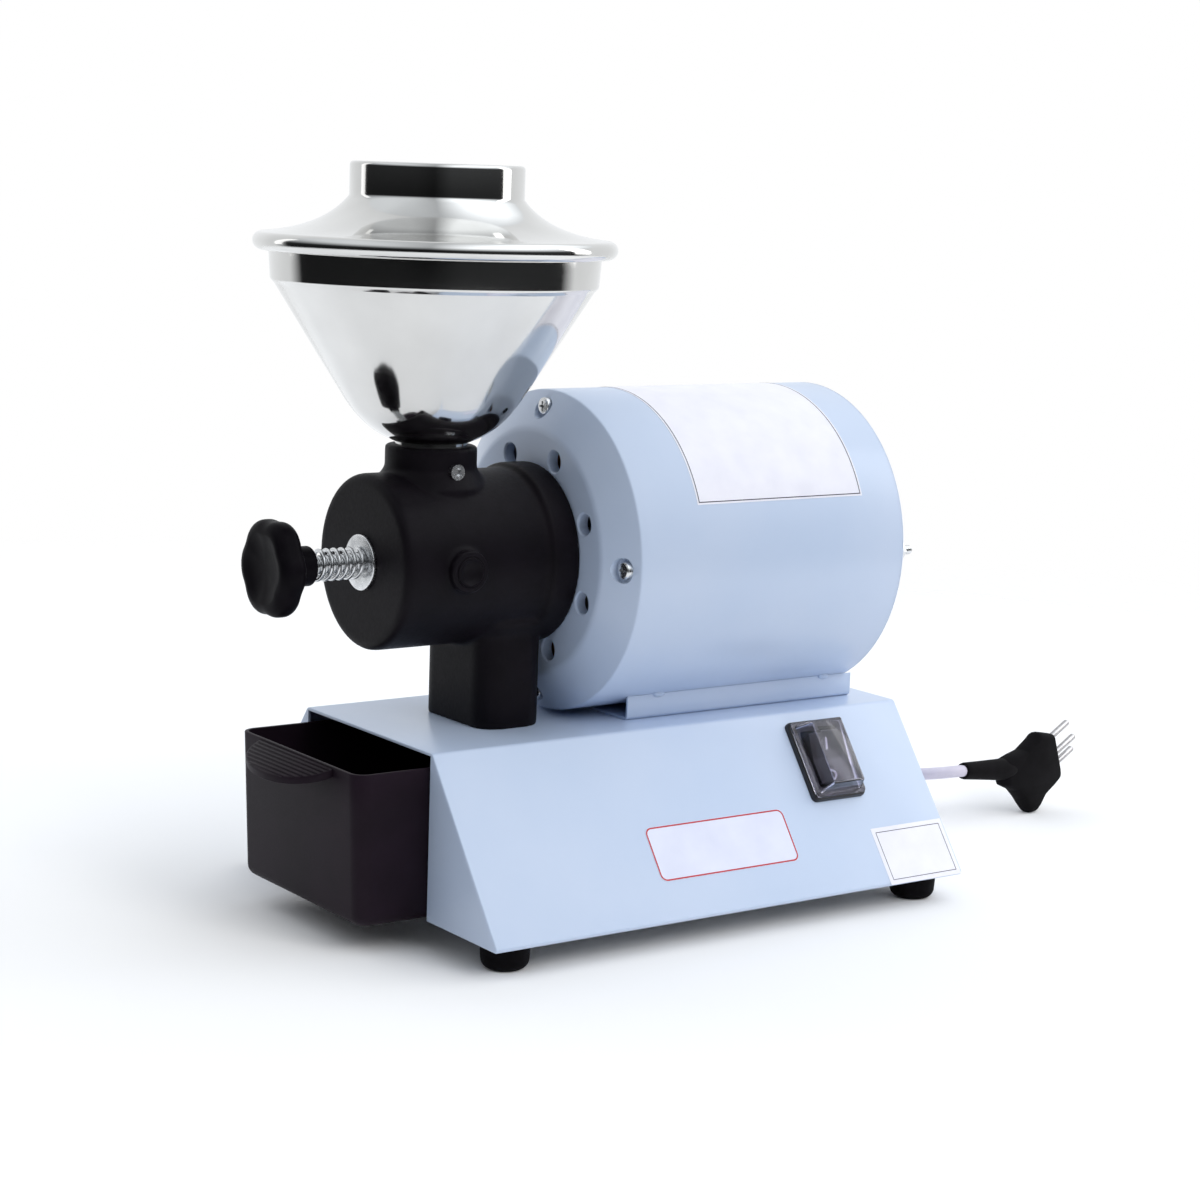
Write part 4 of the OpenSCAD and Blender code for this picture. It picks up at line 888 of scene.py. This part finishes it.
def make_bell(name, node, face_y, rim_y, bearing_r, open_middle):
    """An end bell; face_y is its flat face and rim_y where it meets the shell."""
    inward = 1 if rim_y > face_y else -1
    spigot_r, spigot_y = MOTOR_R - SHELL_WALL - 0.1, rim_y + inward * SPIGOT_L
    inner_r = spigot_r - SPIGOT_WALL
    seat_r, housing_r = bearing_r + 0.05, bearing_r + HOUSING_WALL
    inside, seat, housing = (face_y + inward * depth for depth in (BELL_WALL, SEAT_WALL, HOUSING_L))
    line = [(open_middle, face_y), (BELL_FACE_R, face_y), (MOTOR_R, rim_y - inward * 0.6), (MOTOR_R, rim_y),
            (spigot_r, rim_y), (spigot_r, spigot_y), (inner_r, spigot_y), (inner_r, rim_y + inward),
            (BELL_FACE_R - 2, inside), (housing_r, inside), (housing_r, housing), (seat_r, housing),
            (seat_r, seat), (open_middle, seat)]
    radii = [0, 9, 1.5, 0, 0, 0, 0, 0, 3, 0, 0, 0, 0, 0]
    profile = rounded(line, radii, closed=True, steps=7)
    skin = moved(lathe(profile, SPUN_STEPS, closed=True), MOTOR_AXIS)
    vent = [(0, -PAST), (VENT_R + 0.8, -PAST), (VENT_R + 0.8, -0.01), (VENT_R, 0.8), (VENT_R, 14), (0, 14)]
    hole_r = ROD_R + 0.2
    pocket = [(0, -PAST), (POCKET_R, -PAST), (POCKET_R, POCKET_DEPTH - 1.5), (POCKET_R - 1.5, POCKET_DEPTH),
              (hole_r, POCKET_DEPTH), (hole_r, 26), (0, 26)]
    places = [(vent, at) for at in round_axis(VENTS, VENT_CIRCLE, 0.5 / VENTS)]
    places += [(pocket, at) for at in round_axis(RODS, ROD_CIRCLE)]
    cutters = [moved(lathe([(r, face_y + inward * h) for r, h in hole], 40), at) for hole, at in places]
    piece(name, worked(skin, cutters), PAINT, "base", [node], sharp=30)


def make_tie_rods():
    front, rear = FRONT_FACE + POCKET_DEPTH, REAR_FACE - POCKET_DEPTH
    end = node_box("tie_rods")[1].y
    head_line = [(0, front), (HEAD_R, front),
                 *rounded([(HEAD_R, front - 1), (HEAD_R, front - 3.3), (0, front - 3.5)], 1.2)]
    stem_line = [(0, front - 0.5), (ROD_R, front - 0.5),
                 *rounded([(ROD_R, rear), (ROD_R, end), (0, end)], 0.6)]
    hexagon = [polar(NUT_ACROSS / math.sqrt(3), k / 6) for k in range(6)]
    rods = []
    for at in round_axis(RODS, ROD_CIRCLE):
        slots = [box((-w / 2, -d / 2, front - 6), (w / 2, d / 2, front - 1.8))
                 for w, d in (CROSS, CROSS[::-1])]
        head = worked(lathe(head_line, 40), slots)
        nut = moved(prism(hexagon, NUT_T, 0.5, 2), shift(0, 0, rear))
        rods.append(moved(joined(head, lathe(stem_line, 24), nut), at))
    piece("tie_screws", joined(*rods), ZINC, "base", ["tie_rods"])


def make_motor_foot():
    low, high = node_box("motor_foot")
    half = high.x
    sheet = 1.5
    gap = 0.08
    outer_top = AXIS_Z - math.sqrt((MOTOR_R + gap) ** 2 - half ** 2)
    inner_top = AXIS_Z - math.sqrt((MOTOR_R + gap) ** 2 - (half - sheet) ** 2)
    right = [(half, low.z), (half, outer_top), (half - sheet, inner_top), (half - sheet, low.z + sheet)]
    left = [(-x, z) for x, z in right[::-1]]
    outline = rounded(right + left, [2.5, 0, 0, 1, 1, 0, 0, 2.5], closed=True)
    skin = along_y(outline, low.y, high.y, 0.25)
    welds = []
    for y in (low.y + 20, high.y - 20):
        for side in (-1, 1):
            bead = lathe([(0, -2.2), (1.2, -1.7), (1.9, 0), (1.2, 1.7), (0, 2.2)], 20)
            squeeze = Matrix.Diagonal((0.8, 2.2, 0.9, 1))
            welds.append(moved(bead, shift(side * (half + 0.2), y, outer_top) @ squeeze))
    piece("motor_channel", joined(skin, *welds), PAINT, "base", ["motor_foot"])


# Adjuster

KNOB_LOBES = 6
KNOB_R = 25
LOBE_R = 14.5
KNOB_T = 17
KNOB_ROUND = 6
KNOB_RIM = 2
KNOB_DISH = 2.5
HUB_R = 10
KNOB_STEPS = 144
SPRING_CURLS = 6
SPRING_WIRE = 2
SPRING_MEAN_R = 7.3
THREAD_PITCH = 1.5
THREAD_DEPTH = 0.6


def knob_outline():
    """Radius of the lobed knob at each step round it, its valleys softened."""
    core = KNOB_R - LOBE_R
    sector = TURN / KNOB_LOBES
    raw = []
    for k in range(KNOB_STEPS):
        a = (TURN * k / KNOB_STEPS + sector / 2) % sector - sector / 2
        raw.append(core * math.cos(a) + math.sqrt(LOBE_R ** 2 - (core * math.sin(a)) ** 2))
    reach = range(-3, 4)
    return [sum(raw[(k + j) % KNOB_STEPS] for j in reach) / len(reach) for k in range(KNOB_STEPS)]


def make_knob():
    y0, back = KNOB_LOW.y, KNOB_LOW.y + KNOB_T
    outline = knob_outline()
    inner = KNOB_R - KNOB_ROUND
    levels = [(0.4 * KNOB_R, y0 + 0.8 * KNOB_DISH), (0.6 * KNOB_R, y0 + 0.4 * KNOB_DISH), (inner - 1, y0)]
    for k in range(9):
        a = TURN / 4 * k / 8
        levels.append((inner + KNOB_ROUND * math.sin(a), y0 + KNOB_ROUND * (1 - math.cos(a))))
    for k in range(7):
        a = math.radians(50) * k / 6
        levels.append((inner + KNOB_ROUND * math.cos(a), y0 + KNOB_RIM + KNOB_ROUND * (1 + math.sin(a))))
    near, far = Vector(levels[-1]), Vector((HUB_R + 0.3, back))
    levels += [near.lerp(far, k / 4) for k in range(1, 5)]
    rings = [[(*polar(at / KNOB_R * r, k / KNOB_STEPS), y) for k, r in enumerate(outline)]
             for at, y in levels]
    head = loft([[(0, 0, y0 + KNOB_DISH)], *rings, [(0, 0, back)]])
    hub_end = KNOB_HIGH.y
    hub = lathe([(0, back - 4), (HUB_R, back - 4),
                 *rounded([(HUB_R, back - 3), (HUB_R, hub_end), (0, hub_end)], 1.6)], 64)
    skin = moved(joined(head, hub), MOTOR_AXIS)
    piece("lobed_knob", skin, KNOB, "adjuster", ["adjusting_knob"], sharp=45)


def make_screw():
    low, high = node_box("adjusting_screw")
    r = (high.x - low.x) / 2
    per_turn = 6
    count = round((high.y - low.y) / THREAD_PITCH * per_turn)
    steps = 24
    rings = []
    for i in range(count + 1):
        y = low.y + (high.y - low.y) * i / count
        ring = []
        for k in range(steps):
            phase = ((y - low.y) / THREAD_PITCH - k / steps) % 1
            at = r - THREAD_DEPTH * abs(2 * phase - 1)
            ring.append((*polar(at, k / steps), y))
        rings.append(ring)
    skin = moved(loft(rings), MOTOR_AXIS)
    piece("threaded_spindle", skin, ZINC, "adjuster", ["adjusting_screw"], sharp=60)


def make_spring():
    seat = SPRING_WIRE / 2 + 0.05
    y0 = KNOB_HIGH.y + seat
    y1 = WASHER_LOW.y - seat
    per_curl = 28
    count = SPRING_CURLS * per_curl
    points = []
    for i in range(count + 1):
        x, z = polar(SPRING_MEAN_R, 0.25 + i / per_curl)
        points.append((x, y0 + (y1 - y0) * i / count, AXIS_Z + z))
    wire = tube(points, SPRING_WIRE / 2)
    spring = piece("coil_spring", wire, ZINC, None, ["adjusting_spring"], sharp=60)
    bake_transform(spring)


def make_washer():
    y0, y1 = WASHER_LOW.y, WASHER_HIGH.y
    hole_r, rim_r = SCREW_BORE_R, WASHER_HIGH.x
    profile = rounded([(hole_r, y0), (rim_r, y0), (rim_r, y1), (hole_r, y1)], [0.3, 0.7, 0.3, 0.2],
                      closed=True, steps=4)
    skin = moved(lathe(profile, 72, closed=True), MOTOR_AXIS)
    piece("bright_washer", skin, ZINC, "base", ["spring_washer"])


# Switch

SWITCH_W = 36
SWITCH_L = 46
FRAME_T = 3
POCKET_W = 22
POCKET_L = 32
COVER_H = 10.5
COVER_LEAN_L = 3
COVER_LEAN_W = 9
COVER_WALL = 1.2
COVER_EDGE = 0.5
COVER_FLANGE = 1.2
BODY_L = 37
BODY_W = 27
ROCKER_TILT = math.radians(8)
ROCKER_END = 6.5
ROCKER_DIP = 4.2
ROCKER_LOW = -6
MARK_AT = 0.55
MARK_Z = 5.47
MARK_T = 0.15


def make_bezel():
    skin = ring_loft([
        (POCKET_L, POCKET_W, 1, -17), (POCKET_L, POCKET_W, 1, FRAME_T - 0.4),
        (POCKET_L + 0.8, POCKET_W + 0.8, 1.4, FRAME_T), (SWITCH_L - 2.2, SWITCH_W - 2.2, 2.4, FRAME_T),
        (SWITCH_L - 0.6, SWITCH_W - 0.6, 3, FRAME_T - 0.6), (SWITCH_L, SWITCH_W, 3, FRAME_T - 1.6),
        (SWITCH_L, SWITCH_W, 3, 0), (BODY_L, BODY_W, 1, 0), (BODY_L, BODY_W, 1, -20),
    ])
    piece("switch_bezel", moved(skin, SWITCH_AXIS), SWITCH, "base", ["switch_frame"])


def make_hood():
    """Clear cover over the rocker, from the top of its inside round the flange to its own top."""
    length, width = SWITCH_L - 6, SWITCH_W - 6
    inside_l, inside_w = length - 2 * COVER_WALL, width - 2 * COVER_WALL
    top = FRAME_T + COVER_H
    root = COVER_FLANGE + 0.2
    low, high = root / COVER_H, 1 - COVER_EDGE / COVER_H
    skin = ring_loft([
        (inside_l - COVER_LEAN_L, inside_w - COVER_LEAN_W, 0.8, top - COVER_WALL),
        (inside_l, inside_w, 1, FRAME_T),
        (SWITCH_L - 2.2, SWITCH_W - 2.2, 2.2, FRAME_T + 0.05),
        (SWITCH_L - 2.4, SWITCH_W - 2.4, 2.2, FRAME_T + COVER_FLANGE),
        (length - low * COVER_LEAN_L, width - low * COVER_LEAN_W, 1.2, FRAME_T + root),
        (length - high * COVER_LEAN_L, width - high * COVER_LEAN_W, 1, top - COVER_EDGE),
        (length - COVER_LEAN_L - 2 * COVER_EDGE, width - COVER_LEAN_W - 2 * COVER_EDGE, 0.8, top),
    ])
    piece("switch_hood", moved(skin, SWITCH_AXIS), CLEAR, "base", ["switch_cover"])


def make_rocker():
    half = (POCKET_L - 3) / 2
    width = POCKET_W - 0.6
    section = rounded([(-half, ROCKER_END), (0, ROCKER_DIP), (half, ROCKER_END), (half - 1.5, 0),
                       (4, ROCKER_LOW), (-4, ROCKER_LOW), (1.5 - half, 0)], [1, 8, 1, 2, 2, 2, 2],
                      closed=True)
    tilt = SWITCH_AXIS @ turned(ROCKER_TILT, "Y")
    body = moved(prism(section, width, 0.4), shift(0, width / 2, 0) @ STAND_Y)
    pin = moved(rod(2, -12, 12, 24), STAND_Y)
    piece("rocker_key", moved(joined(body, pin), tilt), SWITCH, "rocker", ["switch_rocker"])
    bar = box((-3, -0.6, 0), (3, 0.6, MARK_T))
    ring = lathe([(2.1, 0), (3.1, 0), (3.1, MARK_T), (2.1, MARK_T)], 32, closed=True)
    lean = math.atan2(ROCKER_END - ROCKER_DIP, half)
    for mark, side in ((bar, -1), (ring, 1)):
        moved(mark, tilt @ shift(side * half * MARK_AT, 0, MARK_Z) @ turned(-side * lean, "Y"))
    piece("rocker_marks", joined(bar, ring), MARK, "rocker")


# Labels

LABEL_T = 0.15
LINE_T = 0.2


def slope_label(name, y0, y1, s0, s1, corner, margin, line, sheet, edge):
    """A label on the sloped side with a thin line round it."""
    here = slope_frame((y0 + y1) / 2, (s0 + s1) / 2)
    width, length = s1 - s0, y1 - y0
    plate = prism(round_rect(width, length, corner), LABEL_T, 0.05, 1)
    piece(name, moved(plate, here), sheet, "base")
    outer = (width - 2 * margin, length - 2 * margin, max(corner - margin, 0.3))
    inner = (outer[0] - 2 * line, outer[1] - 2 * line, max(outer[2] - line, 0.2))
    low, high = LABEL_T / 2, LINE_T
    border = ring_loft([(*inner, low), (*outer, low), (*outer, high), (*inner, high)], closed=True)
    piece(name + "_line", moved(border, here), edge, "base")


MOTOR_LABEL_Y = (145, 255)
MOTOR_LABEL_TURN = (22, 104)


def shell_patch(y0, y1, a0, a1, low, high, steps=40):
    """A thin patch of the motor shell between two angles in degrees, low and high above the surface."""
    rings = []
    for k in range(steps + 1):
        turn = (a0 + (a1 - a0) * k / steps) / 360
        ring = []
        for h, y in ((low, y0), (high, y0), (high, y1), (low, y1)):
            x, z = polar(MOTOR_R + h, turn)
            ring.append((x, FRONT + y, AXIS_Z + z))
        rings.append(ring)
    return loft(rings)


def make_labels():
    slope_label("side_plate", 106.5, 196, 53.5, 83, 4, 0.2, 0.8, PLATE, RED_LINE)
    slope_label("corner_label", 249, 299, 72, 104.5, 0.5, 2.5, 0.35, STICKER, DARK_LINE)
    y0, y1 = MOTOR_LABEL_Y
    a0, a1 = MOTOR_LABEL_TURN
    piece("motor_label", shell_patch(y0, y1, a0, a1, 0.02, LABEL_T), STICKER, "base")
    line = 0.5
    turn = math.degrees(line / MOTOR_R)
    low, high = LABEL_T / 2, LINE_T
    inset = 1
    inset_turn = math.degrees(inset / MOTOR_R)
    y0, y1, a0, a1 = y0 + inset, y1 - inset, a0 + inset_turn, a1 - inset_turn
    border = joined(
        shell_patch(y0, y1, a0, a0 + turn, low, high, 2), shell_patch(y0, y1, a1 - turn, a1, low, high, 2),
        shell_patch(y0, y0 + line, a0, a1, low, high), shell_patch(y1 - line, y1, a0, a1, low, high))
    piece("motor_label_line", border, DARK_LINE, "base")


# Stage, its lights in metres

FLOOR_R = 1400


def make_floor():
    """A pale disc that fades into the backdrop."""
    finish = material("floor", srgb(250, 250, 251), srgb(252, 252, 253), (0.7, 0.8), patch=3, grain=300,
                      bump=0.02, depth=0.2, spec=0.1)
    nodes, links = finish.node_tree.nodes, finish.node_tree.links
    reach = nodes.new("ShaderNodeVectorMath")
    reach.operation = "LENGTH"
    links.new(nodes["Texture Coordinate"].outputs["Object"], reach.inputs[0])
    fade = nodes.new("ShaderNodeMapRange")
    fade.interpolation_type = "SMOOTHSTEP"
    dial(fade, {"From Min": 0.65, "From Max": FLOOR_R * MM - 0.05, "To Min": 1, "To Max": 0})
    links.new(reach.outputs["Value"], fade.inputs["Value"])
    links.new(fade.outputs["Result"], nodes["Principled BSDF"].inputs["Alpha"])
    disc = loft([circle(FLOOR_R, 0, 96), [(0, 0, 0)]], caps=False)
    piece("floor", disc, finish, None)


def area_light(name, at, aim, size, power, colour=(1, 1, 1), mirrored=True):
    data = bpy.data.lights.new(name, "AREA")
    data.shape = "RECTANGLE"
    data.size, data.size_y = size
    data.energy = power
    data.color = colour
    light = bpy.data.objects.new(name, data)
    light.location = at
    light.rotation_mode = "QUATERNION"
    light.rotation_quaternion = (Vector(aim) - Vector(at)).to_track_quat("-Z", "Y")
    light.visible_glossy = mirrored
    scene.collection.objects.link(light)


BOXES_ALONG = (0.58, 0.81, 0)
BACKDROP_ALONG = (-0.81, 0.58, 0)


def graded(nodes, stops):
    """A grey ramp through pairs of place and brightness."""
    node = nodes.new("ShaderNodeValToRGB")
    ramp = node.color_ramp
    while len(ramp.elements) < len(stops):
        ramp.elements.new(0.5)
    for element, (at, value) in zip(ramp.elements, stops):
        element.position = at
        element.color = (value * 0.96, value * 0.98, value, 1)
    return node


def make_world():
    """A studio with a large soft box at either side and a dark horizon, in front of a white backdrop."""
    world = bpy.data.worlds.new("studio")
    world.use_nodes = True
    scene.world = world
    nodes, links = world.node_tree.nodes, world.node_tree.links
    shade = nodes["Background"]
    where = nodes.new("ShaderNodeTexCoord")
    parts = nodes.new("ShaderNodeSeparateXYZ")
    links.new(where.outputs["Generated"], parts.inputs["Vector"])
    sky = graded(nodes, ((0, 0.015), (0.2, 0.04), (0.45, 0.5), (0.7, 1.05), (1, 1.15)))
    links.new(parts.outputs["Z"], sky.inputs["Fac"])
    boxes = graded(nodes, ((0, 0.9), (0.3, 0.8), (0.5, 0.5), (0.68, 1.6), (1, 1.7)))
    backdrop = graded(nodes, ((0, 0), (0.6, 0), (0.72, 0.85), (1, 1)))
    for ramp, along in ((boxes, BOXES_ALONG), (backdrop, BACKDROP_ALONG)):
        across = nodes.new("ShaderNodeVectorMath")
        across.operation = "DOT_PRODUCT"
        across.inputs[1].default_value = along
        links.new(where.outputs["Generated"], across.inputs[0])
        lift = nodes.new("ShaderNodeMath")
        lift.operation = "MULTIPLY_ADD"
        lift.inputs[1].default_value = 0.5
        lift.inputs[2].default_value = 0.5
        links.new(across.outputs["Value"], lift.inputs[0])
        links.new(lift.outputs["Value"], ramp.inputs["Fac"])
    light = sky
    for ramp, blend in ((boxes, "MULTIPLY"), (backdrop, "LIGHTEN")):
        mix = nodes.new("ShaderNodeMix")
        mix.data_type = "RGBA"
        mix.blend_type = blend
        mix.inputs["Factor"].default_value = 1
        links.new(light.outputs["Color" if light is sky else "Result"], mix.inputs["A"])
        links.new(ramp.outputs["Color"], mix.inputs["B"])
        light = mix
    seen = nodes.new("ShaderNodeLightPath")
    pick = nodes.new("ShaderNodeMix")
    pick.data_type = "RGBA"
    pick.inputs["B"].default_value = (1, 1, 1, 1)
    links.new(seen.outputs["Is Camera Ray"], pick.inputs["Factor"])
    links.new(light.outputs["Result"], pick.inputs["A"])
    links.new(pick.outputs["Result"], shade.inputs["Color"])
    shade.inputs["Strength"].default_value = 1


def make_lights():
    area_light("right_strip", (0.55, 1.5, 0.75), (0, 0, 0.25), (0.5, 1.3), 4)
    area_light("left_strip", (-1.2, -0.95, 0.7), (0, 0, 0.3), (0.25, 1.1), 0.8)
    area_light("side", (1.7, 0.3, 1.3), (0.05, 0, 0.1), (0.8, 0.8), 10.5, (1, 0.97, 0.93), False)
    area_light("left_top", (-1.2, -0.3, 0.95), (0, -0.1, 0.1), (0.7, 0.7), 3, mirrored=False)
    scene.view_settings.view_transform = "Standard"


make_camera()
finish_cad_nodes()
make_base_shell()
make_feet()
make_drawer()
make_mill()
make_hopper()
make_lid()
make_motor_shell()
make_bell("front_end_bell", "front_bell", FRONT_FACE, SHELL_LOW.y, 20, 9.5)
make_bell("rear_end_bell", "rear_bell", REAR_FACE, SHELL_HIGH.y, 17.5, 0.5)
make_tie_rods()
make_motor_foot()
make_knob()
make_screw()
make_spring()
make_washer()
make_bezel()
make_hood()
make_rocker()
make_labels()
make_cord([*make_plug(), make_gland(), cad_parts["cord_tie"]])
make_floor()
make_world()
make_lights()
